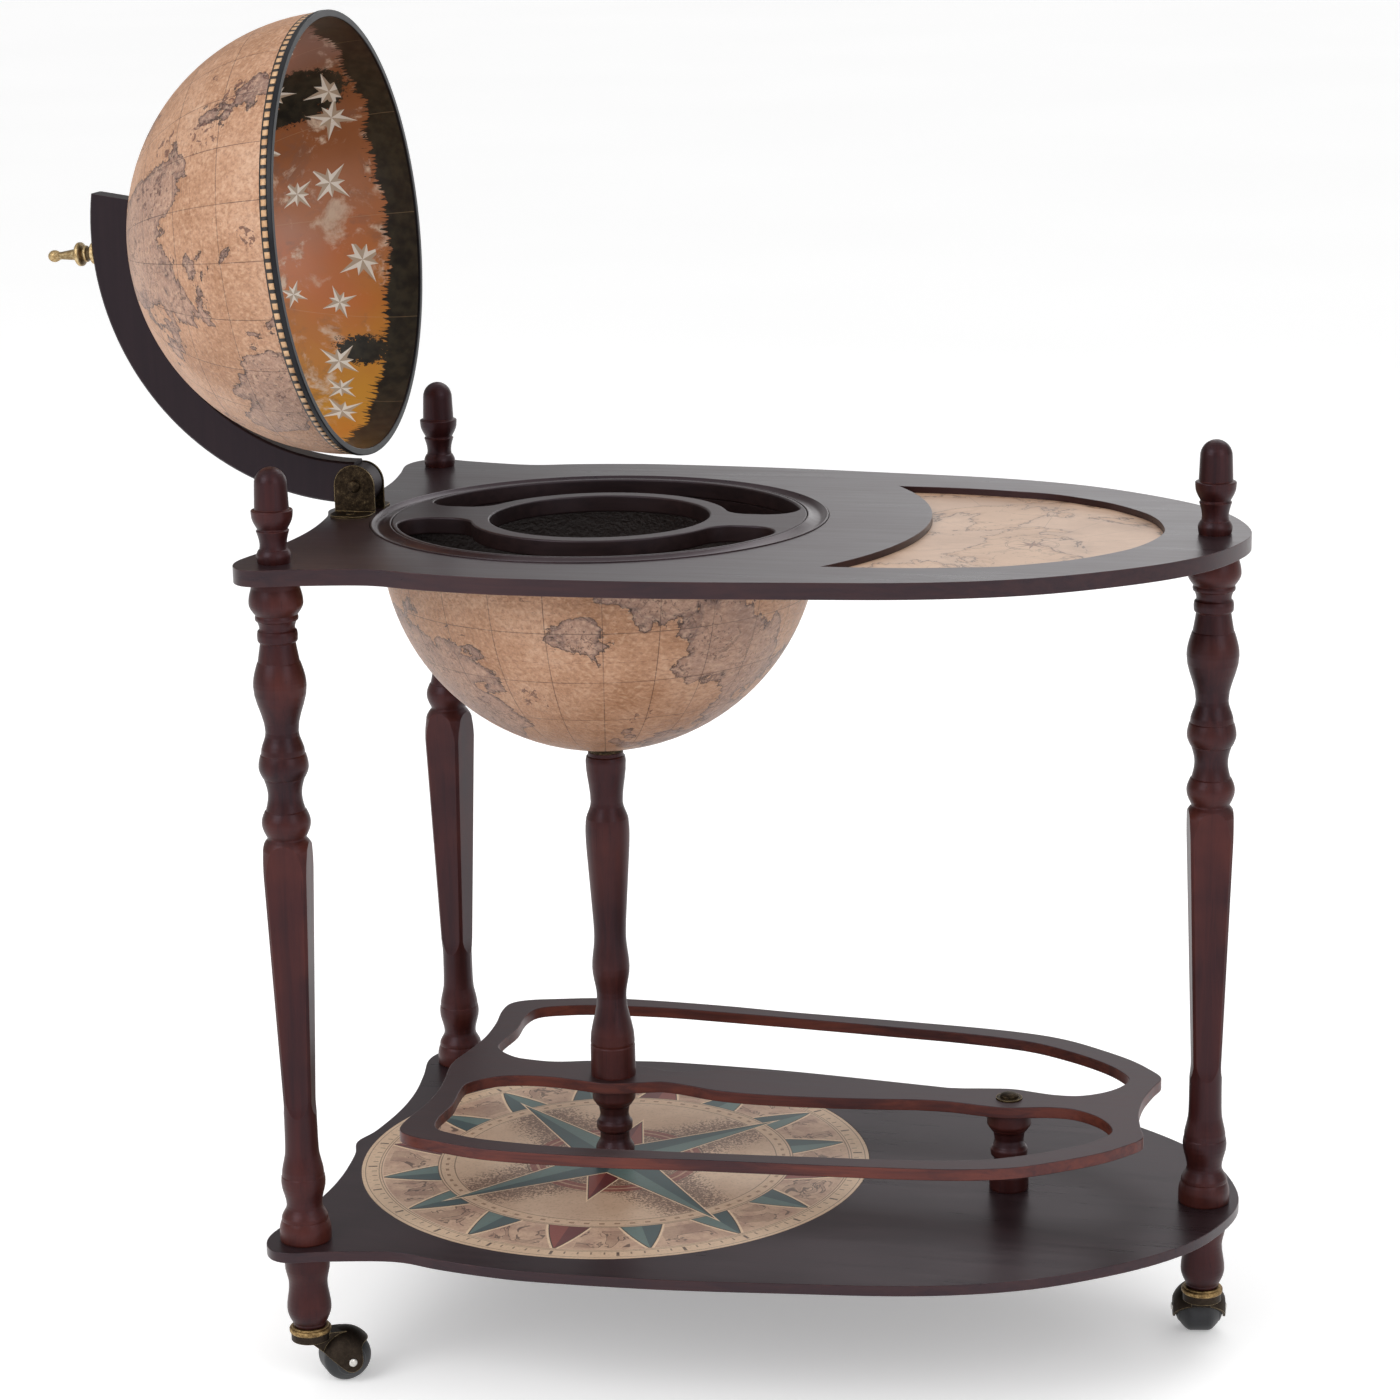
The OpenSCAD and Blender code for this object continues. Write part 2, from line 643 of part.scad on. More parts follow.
// Bolt with a domed cap, through the gallery, the spacer and the lower shelf
module rail_bolt() {
    z = gallery_height + washer_h;
    color("#b08a3c") in_frame() translate([rail_x, 0, 0]) {
        hole(0, 0, rod_d, low_under - washer_h - nut_h - 2, z + 1);
        translate([0, 0, z]) rotate_extrude() polygon(concat(
            [[0, 0], [cap_d / 2, 0], [cap_d / 2, 1]],
            [for (i = [1 : 8]) [cap_d / 2 * cos(i * 90 / 8), 1 + cap_d * 0.2 * sin(i * 90 / 8)]]
        ));
    }
}

module rail_washer() {
    color("#8a6a34") in_frame() difference() {
        hole(rail_x, 0, gallery_washer_d, gallery_height, gallery_height + washer_h);
        hole(rail_x, 0, rod_d + 2 * seat_play, gallery_under, gallery_height + over + washer_h);
    }
}

// Hinge brackets
module bracket() {
    c = bracket_half * 0.8;
    difference() {
        union() {
            translate([-pivot_x, cheek_y, pivot_z]) rotate([-90, 0, 0])
                cylinder(r = bracket_half, h = cheek_thick);
            translate([-pivot_x - bracket_half, cheek_y, top_height])
                cube([2 * bracket_half, cheek_thick, pivot_height]);
            translate([-pivot_x, 0, 0]) slab(concat(
                [[-bracket_half, cheek_y]],
                arc(-bracket_half + c, bracket_y - c, c, 180, 90, 8),
                arc(bracket_half - c, bracket_y - c, c, 90, 0, 8),
                [[bracket_half, cheek_y]]
            ), top_height, top_height + foot_plate);
        }
        translate([-pivot_x, cheek_y - over, pivot_z]) rotate([-90, 0, 0])
            cylinder(d = pin_d + 2 * seat_play, h = cheek_thick + 2 * over);
        hole(-pivot_x, screw_y, screw_d + 2 * seat_play, top_height - over,
            top_height + foot_plate + over);
    }
}

module hinge_bracket_rear() {
    color("#7d6232") in_frame() bracket();
}

module hinge_bracket_front() {
    color("#7d6232") in_frame() mirror([0, 1, 0]) bracket();
}

// Pin with a domed head at each end
module hinge_pin() {
    reach = cheek_y + cheek_thick + face_play / 2;
    color("#8a6c38") in_frame() translate([-pivot_x, 0, pivot_z]) rotate([90, 0, 0]) {
        translate([0, 0, -reach - 1]) cylinder(d = pin_d, h = 2 * reach + 2);
        for (s = [0, 1]) mirror([0, 0, s]) translate([0, 0, reach]) rotate_extrude() polygon(
            concat([[0, 0], [pin_d * 0.82, 0], [pin_d * 0.82, 0.8]],
            [for (i = [1 : 6]) [pin_d * 0.82 * cos(i * 15), 0.8 + 2 * sin(i * 15)]]));
    }
}

module bracket_screws() {
    color("#8a6c38") in_frame() for (s = [-1, 1]) translate([-pivot_x, s * screw_y, 0]) {
        hole(0, 0, screw_d, top_height - screw_grip, top_height + foot_plate + 1);
        translate([0, 0, top_height + foot_plate]) rotate_extrude() polygon(
            concat([[0, 0], [3.5, 0]], [for (i = [1 : 6]) [3.5 * cos(i * 15), 2 * sin(i * 15)]]));
    }
}

// Studs through both shelves
module leg_studs() {
    color("#9a9a98") in_frame() for (q = leg_at) {
        hole(q[0], q[1], stud_d, top_under - stud_grip, top_height + stud_grip);
        hole(q[0], q[1], stud_d, low_under - foot_stud, low_height + stud_grip);
    }
}

module finial(i) {
    color("#5c3226") at_leg(i) difference() {
        translate([0, 0, top_height])
            turning(finial_turning, finial_height, finial_d);
        hole(0, 0, stud_d + 2 * seat_play, top_height - over, top_height + stud_grip + 0.5);
    }
}

// One flat of the square taper, cut from the side, running out in a curve at its foot
module flat_cutter(k) {
    z0 = 110 * k;
    z1 = 309.8 * k;
    top = flats_top / 2;
    foot = flats_foot / 2;
    slope = (top - foot) / (285 * k - z0);
    reach = leg_d;
    run = 40;
    rotate([90, 0, 0]) translate([0, 0, -reach]) linear_extrude(2 * reach) polygon(concat(
        [for (a = [24 : -4 : 0]) [foot + run - run * cos(a), z0 - run * sin(a)]],
        [[foot + slope * (z1 - z0), z1], [reach, z1], [reach, z0 - run * sin(24)]]
    ));
}

module leg(i) {
    k = leg_length / drawn_length(leg_turning);
    color("#5c3226") at_leg(i) rotate([0, 0, leg_turn[i]]) difference() {
        translate([0, 0, low_height])
            turning(leg_turning, leg_length, leg_d);
        translate([0, 0, low_height])
            for (a = [0 : 90 : 270]) rotate([0, 0, a]) flat_cutter(k);
        hole(0, 0, stud_d + 2 * seat_play, low_height - over, low_height + stud_grip + 0.5);
        hole(0, 0, stud_d + 2 * seat_play, top_under - stud_grip - 0.5, top_under + over);
    }
}

module foot(i) {
    color("#5c3226") at_leg(i) difference() {
        translate([0, 0, caster_height]) turning(foot_turning, foot_length, foot_d);
        hole(0, 0, stud_d + 2 * seat_play, low_under - foot_stud - 0.5, low_under + over);
        hole(0, 0, stem_d + 2 * run_play, caster_height - over,
            caster_height + stem_grip + face_play);
    }
}

// Brass cup round the end of a foot, in two tiers
module caster_cup(i) {
    kd = foot_d / drawn_width(foot_turning);
    kz = foot_length / drawn_length(foot_turning);
    end_d = foot_turning[0][1];
    r0 = end_d / 2 * kd + face_play;
    r1 = (end_d + (foot_turning[1][1] - end_d) * sin(45)) / 2 * kd + face_play;
    color("#9a7636") at_leg(i) rotate_extrude() polygon([
        [stem_d / 2 + seat_play, cup_under], [r1 + 3.2, cup_under], [r1 + 3.6, cup_under + 0.6],
        [r1 + 3.6, cup_under + 2.6], [r1 + 3, cup_under + 3.4], [r1 + 1.8, cup_under + 3.6],
        [r1 + 1.8, caster_height + 3 * kz - 0.4], [r1 + 1.4, caster_height + 3 * kz],
        [r1, caster_height + 3 * kz], [r0, caster_height], [stem_d / 2 + seat_play, caster_height]
    ]);
}

// Side outline of the hood about the axle: an ear round the axle, an open side under the
// swivel plate, and a lip over the far side of the wheel
function hood_outline() =
    let (p = [-trail - 2, swivel_top - swivel_thick - wheel_r - 1.7],
        a = atan2(-p[1], -p[0]) - asin(hood_ear / norm(p)) + 270,
        c = hood_ear / 2)
    concat(
        [p],
        arc(0, 0, hood_ear, a, 360, 10),
        arc(hood_ear + c, hood_lip - c, c, 180, 90, 5),
        [[hood_r + 2, hood_lip], [hood_r + 2, hood_r + 2], [p[0], hood_r + 2]]
    );

// Domed hood with flat cheeks, swivel plate and stem
module caster_hood(i) {
    color("#a07c3a") at_caster(i) difference() {
        union() {
            intersection() {
                translate([trail, 0, wheel_r]) rotate([90, 0, 0])
                    translate([0, 0, -cheek_out]) linear_extrude(2 * cheek_out)
                    polygon(hood_outline());
                union() {
                    intersection() {
                        translate([trail, 0, wheel_r]) sphere(r = hood_r);
                        translate([trail, 0, wheel_r])
                            cube([3 * hood_r, 2 * cheek_out, 3 * hood_r], center = true);
                    }
                    rotate([90, 0, 0]) translate([0, 0, -neck_width / 2])
                        linear_extrude(neck_width) polygon([
                            [-neck_width * 0.2, swivel_top - swivel_thick + 1],
                            [trail - hood_r + 1, wheel_r], [trail - hood_r + 8, wheel_r],
                            [trail, wheel_r + hood_r - 1], [0, swivel_top - 1]
                        ]);
                }
            }
            translate([0, 0, swivel_top - swivel_thick])
                cylinder(d = swivel_d, h = swivel_thick);
            hole(0, 0, stem_d, swivel_top - 1, caster_height + stem_grip);
        }
        intersection() {
            translate([trail, 0, wheel_r]) sphere(r = ball_r);
            translate([trail, 0, wheel_r])
                cube([3 * hood_r, 2 * cheek_in, 3 * hood_r], center = true);
        }
        translate([trail, 0, wheel_r]) rotate([90, 0, 0])
            cylinder(d = axle_d + 2 * run_play, h = 4 * cheek_out, center = true);
    }
}

// Axle with a rivet head at each end
module caster_axle(i) {
    reach = cheek_out + 0.1;
    color("#a9853f") at_caster(i) translate([trail, 0, wheel_r]) rotate([90, 0, 0]) {
        translate([0, 0, -reach - 0.5]) cylinder(d = axle_d, h = 2 * reach + 1);
        for (s = [0, 1]) mirror([0, 0, s]) translate([0, 0, reach]) rotate_extrude() polygon(
            concat([[0, 0], [axle_d * 0.82, 0]],
            [for (k = [1 : 6]) [axle_d * 0.82 * cos(k * 15), 1.6 * sin(k * 15)]]));
    }
}

// Ball-shaped wheel with a flat tread
module caster_wheel(i) {
    h = wheel_width / 2;
    st = [[-h, 11, 0], [-h + 3, 23, 2], [-6.5, wheel_d, 2], [6.5, wheel_d, 0],
        [h - 3, 23, 3], [h, 11, 3]];
    p = turned(st, 1, 1);
    color("#3c3c3e") at_caster(i) translate([trail, 0, wheel_r]) rotate([90, 0, 0])
        difference() {
            rotate_extrude() polygon(concat([[0, -h]], p, [[0, h]]));
            translate([0, 0, -h - over])
                cylinder(d = axle_d + 2 * run_play, h = wheel_width + 2 * over);
        }
}

// Curved arm over the globe, from the hinge to just past the pole
module meridian_arm() {
    b = arm_bevel;
    w = arm_thick / 2;
    a0 = 90 - arm_past;
    a1 = pivot_turn;
    far = 3 * arm_out;
    color("#33231d") in_lid() difference() {
        union() {
            intersection() {
                rotate([90, 0, 0]) rotate_extrude($fn = 200) polygon([
                    [arm_in + b, -w], [arm_out - b, -w], [arm_out, -w + b], [arm_out, w - b],
                    [arm_out - b, w], [arm_in + b, w], [arm_in, w - b], [arm_in, -w + b]
                ]);
                rotate([90, 0, 0]) translate([0, 0, -arm_thick]) linear_extrude(2 * arm_thick)
                    polygon(concat([[0, 0]], [for (a = [a0, (a0 + a1) / 2, a1])
                        [far * cos(a), far * sin(a)]]));
            }
            translate([-pivot_x, 0, pivot_rise]) rotate([90, 0, 0]) rotate_extrude() polygon([
                [0, -w], [hub_r - b, -w], [hub_r, -w + b], [hub_r, w - b], [hub_r - b, w], [0, w]
            ]);
        }
        translate([-pivot_x, 0, pivot_rise]) rotate([90, 0, 0])
            cylinder(d = pin_d + 2 * run_play, h = 2 * arm_thick, center = true);
        hole(0, 0, polar_d + 2 * seat_play, arm_in - 2, arm_out + 2);
    }
}

module arm_finial() {
    color("#b8903e") in_lid() difference() {
        translate([0, 0, arm_out])
            turning(pole_turning, pole_finial, pole_finial_d);
        hole(0, 0, polar_d + 2 * seat_play, arm_out - over, arm_out + 9);
    }
}

// Bolt through the arm and the upper half globe
module polar_bolt() {
    color("#9a7636") in_lid() hole(0, 0, polar_d, nut_top - 9, arm_out + 8.5);
}

module polar_collar() {
    color("#9a7636") in_lid() difference() {
        hole(0, 0, collar_d, globe_r + face_play, collar_top);
        hole(0, 0, polar_d + 2 * seat_play, globe_r - over, arm_in + over);
    }
}

// Washer and domed nut inside the upper half globe
module polar_nut() {
    color("#9a7636") in_lid() difference() {
        union() {
            hole(0, 0, 22, nut_top - 1.4, nut_top);
            hole(0, 0, 12, nut_top - 8, nut_top - 1);
        }
        hole(0, 0, polar_d + 0.1, nut_top - 12, nut_top + over);
    }
}

// Upper half globe, with a lining and a rim hoop
module half_shell(r_out, r_in) {
    difference() {
        sphere(r = r_out, $fn = 160);
        sphere(r = r_in, $fn = 160);
        translate([-globe_d, -globe_d, -globe_d]) cube([2 * globe_d, 2 * globe_d, globe_d]);
        cylinder(d = polar_d + 2 * run_play, h = 2 * globe_r);
    }
}

module globe_dome() {
    color("#b98a56") in_lid() half_shell(globe_r, inner_r);
}

module dome_lining() {
    color("#c99a62") in_lid() half_shell(inner_r - 0.1, lining_r);
}

module dome_rim() {
    lip = rim_height * 0.55;
    out = globe_r + rim_proud;
    c = 0.6;
    color("#1e1a18") in_lid() rotate_extrude($fn = 160) polygon(concat(
        [[lining_r, 0]],
        arc(lining_r + c, c - lip, c, 180, 270, 4),
        arc(out - c, c - lip, c, 270, 360, 4),
        arc(out - c / 2, rim_height - lip - c / 2, c / 2, 0, 90, 3),
        [[globe_r + 0.1, rim_height - lip], [globe_r + 0.1, 0]]
    ));
}

lower_shelf();
compass_print();
top_shelf();
map_print();
ring_moulding();
bowl_hoop();
bottle_tray();
globe_bowl();
gallery();
centre_post();
post_washer();
tie_rod();
rod_nuts();
post_spacer();
rail_spacer();
rail_bolt();
rail_washer();
hinge_bracket_front();
hinge_bracket_rear();
hinge_pin();
bracket_screws();
leg_studs();
finial(0);  // finial_front_left
finial(1);  // finial_back_left
finial(2);  // finial_right
leg(0);  // leg_front_left
leg(1);  // leg_back_left
leg(2);  // leg_right
foot(0);  // foot_front_left
foot(1);  // foot_back_left
foot(2);  // foot_right
caster_cup(0);  // caster_cup_front_left
caster_cup(1);  // caster_cup_back_left
caster_cup(2);  // caster_cup_right
caster_hood(0);  // caster_hood_front_left
caster_hood(1);  // caster_hood_back_left
caster_hood(2);  // caster_hood_right
caster_axle(0);  // caster_axle_front_left
caster_axle(1);  // caster_axle_back_left
caster_axle(2);  // caster_axle_right
caster_wheel(0);  // caster_wheel_front_left
caster_wheel(1);  // caster_wheel_back_left
caster_wheel(2);  // caster_wheel_right
meridian_arm();
arm_finial();
polar_bolt();
polar_collar();
polar_nut();
globe_dome();
dome_lining();
dome_rim();
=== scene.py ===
import json
import math

import bmesh
import bpy
from mathutils import Matrix, Vector


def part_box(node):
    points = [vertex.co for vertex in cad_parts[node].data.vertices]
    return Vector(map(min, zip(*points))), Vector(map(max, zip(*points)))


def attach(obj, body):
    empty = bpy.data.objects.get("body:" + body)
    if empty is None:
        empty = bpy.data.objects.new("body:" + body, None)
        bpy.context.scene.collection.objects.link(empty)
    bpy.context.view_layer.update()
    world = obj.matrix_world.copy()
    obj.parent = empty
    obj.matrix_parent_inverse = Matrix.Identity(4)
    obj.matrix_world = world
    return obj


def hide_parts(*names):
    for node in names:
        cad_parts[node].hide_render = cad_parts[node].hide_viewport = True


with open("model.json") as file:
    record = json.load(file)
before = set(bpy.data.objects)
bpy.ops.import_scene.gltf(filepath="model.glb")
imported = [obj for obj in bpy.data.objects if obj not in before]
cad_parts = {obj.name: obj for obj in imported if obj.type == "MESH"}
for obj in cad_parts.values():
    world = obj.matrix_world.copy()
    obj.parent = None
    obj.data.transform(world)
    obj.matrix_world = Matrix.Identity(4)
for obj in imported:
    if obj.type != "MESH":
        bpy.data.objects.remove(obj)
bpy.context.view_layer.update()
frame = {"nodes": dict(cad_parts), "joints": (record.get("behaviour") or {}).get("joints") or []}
NODES = frame["nodes"]
JOINT = {j["name"]: j for j in frame["joints"]}
MM = 0.001
TO_MM = 1000
TO_DEGREES = 180 / math.pi
TO_RADIANS = math.pi / 180

# ---------------------------------------------------------------- places, from the pieces' boxes
BOWL_LOW, BOWL_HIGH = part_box("globe_bowl")
GLOBE_X = (BOWL_LOW.x + BOWL_HIGH.x) / 2
GLOBE_R = (BOWL_HIGH.x - BOWL_LOW.x) / 2
BOWL_CENTRE = Vector((GLOBE_X, 0, BOWL_HIGH.z))
MM_PER_DEGREE = GLOBE_R * TO_RADIANS * TO_MM
DOME_CENTRE = Vector(JOINT["dome_spin"]["pos_m"])
OPEN_ANGLE = math.radians(JOINT["lid_hinge"]["range_deg"][1])
ARM_OUT = 204 * MM  # outer radius of the arm, from the globe's centre
COMPASS_R = (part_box("compass_print")[1].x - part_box("compass_print")[0].x) / 2
MAP_LOW, MAP_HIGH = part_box("map_print")
MAP_X = (MAP_LOW.x + MAP_HIGH.x) / 2


# ---------------------------------------------------------------- working out a finish
def srgb(r, g, b):
    """A colour given as it shows on screen, 0 to 255, in the shader's own scale."""
    def part(c):
        c = c / 255
        return c / 12.92 if c <= 0.04045 else ((c + 0.055) / 1.055) ** 2.4
    return (part(r), part(g), part(b), 1.0)


class Num:
    """A number worked out at each point of a surface."""

    def __init__(self, finish, socket):
        self.finish, self.socket = finish, socket

    def do(self, how, *others):
        return self.finish.math(how, self, *others)

    def __add__(self, o): return self.do("ADD", o)
    def __radd__(self, o): return self.do("ADD", o)
    def __sub__(self, o): return self.do("SUBTRACT", o)
    def __rsub__(self, o): return self.finish.math("SUBTRACT", o, self)
    def __mul__(self, o): return self.do("MULTIPLY", o)
    def __rmul__(self, o): return self.do("MULTIPLY", o)
    def __truediv__(self, o): return self.do("DIVIDE", o)
    def __gt__(self, o): return self.do("GREATER_THAN", o)
    def __lt__(self, o): return self.do("LESS_THAN", o)
    def __abs__(self): return self.do("ABSOLUTE")
    def __neg__(self): return self * -1.0
    def sin(self): return self.do("SINE")
    def cos(self): return self.do("COSINE")
    def least(self, o): return self.do("MINIMUM", o)
    def most(self, o): return self.do("MAXIMUM", o)
    def modulo(self, o): return self.do("FLOORED_MODULO", o)
    def floor(self): return self.do("FLOOR")

    def within(self, low, high):
        """1 between two values, 0 outside them."""
        return (self > low) * (self < high)

    def near(self, value, half):
        """1 within half of a value."""
        return abs(self - value) < half

    def soft(self, low, high):
        """0 below low, 1 above high, smooth between."""
        n = self.finish.node("ShaderNodeMapRange", interpolation_type="SMOOTHSTEP")
        self.finish.put(n.inputs["Value"], self)
        n.inputs["From Min"].default_value = low
        n.inputs["From Max"].default_value = high
        return Num(self.finish, n.outputs["Result"])

    def to_line(self, every):
        """Distance to the nearest multiple of every."""
        return abs((self + every / 2).modulo(every) - every / 2)


class Nodes:
    """A node tree with short ways to work out one value from another."""

    def __init__(self, tree, place="Object"):
        self.tree = tree
        self.tree.nodes.clear()
        self.place = self.node("ShaderNodeTexCoord").outputs[place]

    def node(self, kind, **settings):
        n = self.tree.nodes.new(kind)
        for key, value in settings.items():
            setattr(n, key, value)
        return n

    def put(self, socket, value):
        if isinstance(value, Num):
            value = value.socket
        if isinstance(value, bpy.types.NodeSocket):
            self.tree.links.new(value, socket)
        else:
            socket.default_value = value

    def math(self, how, *values):
        n = self.node("ShaderNodeMath", operation=how)
        for socket, value in zip(n.inputs, values):
            self.put(socket, value)
        return Num(self, n.outputs[0])

    def parts(self, vector=None):
        n = self.node("ShaderNodeSeparateXYZ")
        self.put(n.inputs[0], vector or self.place)
        return [Num(self, o) for o in n.outputs]

    def vector(self, x, y, z):
        n = self.node("ShaderNodeCombineXYZ")
        for socket, value in zip(n.inputs, (x, y, z)):
            self.put(socket, value)
        return n.outputs[0]

    def moved(self, centre=(0, 0, 0), turn=(0, 0, 0), stretch=(1, 1, 1), vector=None):
        """The place measured from a centre, turned, then stretched."""
        shift = self.node("ShaderNodeMapping")
        self.put(shift.inputs["Vector"], vector or self.place)
        shift.inputs["Location"].default_value = [-c for c in centre]
        spin = self.node("ShaderNodeMapping")
        self.put(spin.inputs["Vector"], shift.outputs[0])
        spin.inputs["Rotation"].default_value = turn
        grow = self.node("ShaderNodeMapping")
        self.put(grow.inputs["Vector"], spin.outputs[0])
        grow.inputs["Scale"].default_value = stretch
        return grow.outputs[0]

    def vectors(self, how, *values):
        n = self.node("ShaderNodeVectorMath", operation=how)
        for socket, value in zip(n.inputs, values):
            self.put(socket, value)
        return n

    def unit(self, vector):
        return self.vectors("NORMALIZE", vector).outputs["Vector"]

    def cross(self, a, b):
        return self.vectors("CROSS_PRODUCT", a, b).outputs["Vector"]

    def dot(self, a, b):
        return Num(self, self.vectors("DOT_PRODUCT", a, b).outputs["Value"])

    def size(self, vector):
        return Num(self, self.vectors("LENGTH", vector).outputs["Value"])

    def noise(self, scale, vector=None, detail=2.0, rough=0.5, warp=0.0):
        n = self.node("ShaderNodeTexNoise")
        self.put(n.inputs["Vector"], vector or self.place)
        for key, value in (("Scale", scale), ("Detail", detail), ("Roughness", rough),
                           ("Distortion", warp)):
            n.inputs[key].default_value = value
        return Num(self, n.outputs[0])

    def cells(self, scale, vector, uneven=1.0):
        """Scattered points, each with a cell round it."""
        n = self.node("ShaderNodeTexVoronoi", feature="F1")
        self.put(n.inputs["Vector"], vector)
        n.inputs["Scale"].default_value = scale
        n.inputs["Randomness"].default_value = uneven
        return n

    def blend(self, share, a, b):
        """Colour a, with colour b laid over it by a share from 0 to 1."""
        n = self.node("ShaderNodeMix", data_type="RGBA")
        self.put(n.inputs["Factor"], share)
        a_socket, b_socket = [i for i in n.inputs if i.type == "RGBA"]
        self.put(a_socket, a)
        self.put(b_socket, b)
        return next(o for o in n.outputs if o.type == "RGBA")

    def ramp(self, share, *stops):
        n = self.node("ShaderNodeValToRGB")
        self.put(n.inputs[0], share)
        e = n.color_ramp.elements
        e[0].position, e[0].color = stops[0]
        e[1].position, e[1].color = stops[-1]
        for position, colour in stops[1:-1]:
            e.new(position).color = colour
        return n.outputs[0]

    def between(self, share, first, last):
        """From the first colour at 0 to the last colour at 1."""
        return self.ramp(share, (0.0, first), (1.0, last))


class Finish(Nodes):
    """One finish: a material with its colour, roughness and relief."""

    def __init__(self, name, roughness=0.5, metallic=0.0, specular=0.5,
                 sheen=(1.0, 1.0, 1.0, 1.0)):
        self.material = bpy.data.materials.new(name)
        self.material.use_nodes = True
        super().__init__(self.material.node_tree)
        self.out = self.node("ShaderNodeOutputMaterial")
        self.shader = self.node("ShaderNodeBsdfPrincipled")
        self.tree.links.new(self.shader.outputs[0], self.out.inputs[0])
        for key, value in (("Roughness", roughness), ("Metallic", metallic),
                           ("Specular IOR Level", specular), ("Specular Tint", sheen)):
            self.shader.inputs[key].default_value = value

    def colour(self, value):
        self.put(self.shader.inputs["Base Color"], value)

    def rough(self, value):
        self.put(self.shader.inputs["Roughness"], value)

    def bump(self, height, depth, strength=1.0, edge=0.0):
        """Small relief: depth in metres. edge rounds sharp edges by that radius."""
        n = self.node("ShaderNodeBump")
        n.inputs["Strength"].default_value = strength
        n.inputs["Distance"].default_value = depth
        self.put(n.inputs["Height"], height)
        if edge:
            b = self.node("ShaderNodeBevel", samples=4)
            b.inputs["Radius"].default_value = edge
            self.put(n.inputs["Normal"], b.outputs[0])
        self.put(self.shader.inputs["Normal"], n.outputs[0])

    def edge_band(self, reach, low=0.01, high=0.16):
        """1 on outer and inner edges of the shape, as wide as reach, 0 on its flats."""
        eased = self.node("ShaderNodeBevel", samples=6)
        eased.inputs["Radius"].default_value = reach
        true = self.node("ShaderNodeNewGeometry").outputs["Normal"]
        return (1.0 - self.dot(eased.outputs[0], true)).soft(low, high)


# ---------------------------------------------------------------- wood
LILAC = (0.97, 0.84, 1.0, 1.0)  # the lacquer's cold gleam on dark stain
EASED_EDGE = 0.6 * MM  # radius that the light sees on sharp edges


def wood(name, deep, warm, grain_along, roughness=0.42, specular=0.4, side=None, wear_and_highlight=None,
         axes=()):
    """Stained wood under satin lacquer: streaks along the grain, pores, cloudy stain.

    side: stain on upright faces. worn: tone where the stain has gone thin on edges, also laid on
    the bellies of turned pieces as a painted highlight.
    axes: where turned pieces stand, so that their bellies can be painted lighter than their
    necks, a painted highlight.
    """
    f = Finish(name, roughness=roughness, specular=specular, sheen=LILAC)
    stretch = {"x": (0.05, 1, 1), "z": (1, 1, 0.05)}[grain_along]
    streaks = f.noise(170, f.moved(stretch=stretch), detail=4, rough=0.62, warp=0.6)
    pores = f.noise(900, f.moved(stretch=[s if s == 1 else 0.03 for s in stretch]), detail=2)
    cloud = f.noise(9, detail=3)
    share = (streaks * 0.62 + cloud * 0.5 - 0.06).soft(0.28, 0.78)
    colour = f.between(share, deep, warm)
    if side:
        facing_up = f.parts(f.node("ShaderNodeNewGeometry").outputs["Normal"])[2]
        upright = (1.0 - abs(facing_up)).soft(0.35, 0.8)
        colour = f.blend(upright * 0.9, colour, f.between(share, *side))
    if axes:
        x, y, _ = f.parts()
        out = None
        for at in axes:
            dx, dy = x - at.x, y - at.y
            away = f.math("SQRT", dx * dx + dy * dy)
            out = away if out is None else out.least(away)
        neck, widest = 9 * MM, 21 * MM
        # painted highlight: the bellies of turned pieces lighter than their necks, with some
        # stain gone thin there too
        belly_highlight_and_wear = out.soft(neck, widest) * f.noise(22, detail=3).soft(0.25, 0.75)
        colour = f.blend(belly_highlight_and_wear * 0.4, colour, wear_and_highlight)
    if wear_and_highlight:
        colour = f.blend(f.edge_band(1.4 * MM) * streaks.soft(0.3, 0.62) * 0.5, colour, wear_and_highlight)
    colour = f.blend(pores.soft(0.62, 0.74) * 0.3, colour, srgb(16, 8, 8))
    f.colour(colour)
    f.rough(streaks * 0.14 + cloud * 0.08 + (roughness - 0.11))
    f.bump(streaks * 0.4 + pores * 0.6, 0.06 * MM, 0.5, EASED_EDGE)
    return f.material


def foot_point(node):
    """Where an upright turned piece stands."""
    low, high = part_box(node)
    return (low + high) / 2


TURNED_AXES = [foot_point(n) for n in ("finial_front_left", "finial_back_left", "finial_right",
                                       "centre_post", "rail_spacer")]
SHELF_WOOD = wood("shelf_wood", srgb(32, 22, 24), srgb(50, 35, 37), "x", roughness=0.3,
                  side=(srgb(28, 14, 13), srgb(56, 31, 26)), wear_and_highlight=srgb(92, 54, 45))
RAIL_WOOD = wood("rail_wood", srgb(38, 22, 22), srgb(60, 38, 36), "x",
                 side=(srgb(52, 22, 16), srgb(112, 54, 36)), wear_and_highlight=srgb(124, 66, 46))
TRAY_WOOD = wood("tray_wood", srgb(30, 22, 21), srgb(48, 35, 33), "x",
                 side=(srgb(22, 13, 12), srgb(42, 26, 23)))
TURNED_WOOD = wood("turned_wood", srgb(30, 10, 10), srgb(60, 25, 22), "z", roughness=0.38,
                   specular=0.26, wear_and_highlight=srgb(108, 52, 38), axes=TURNED_AXES)
ARM_WOOD = wood("arm_wood", srgb(24, 15, 16), srgb(34, 23, 24), "z", roughness=0.46,
                specular=0.26, wear_and_highlight=srgb(60, 44, 42))
RING_WOOD = wood("ring_wood", srgb(34, 23, 24), srgb(52, 36, 36), "x", roughness=0.3)


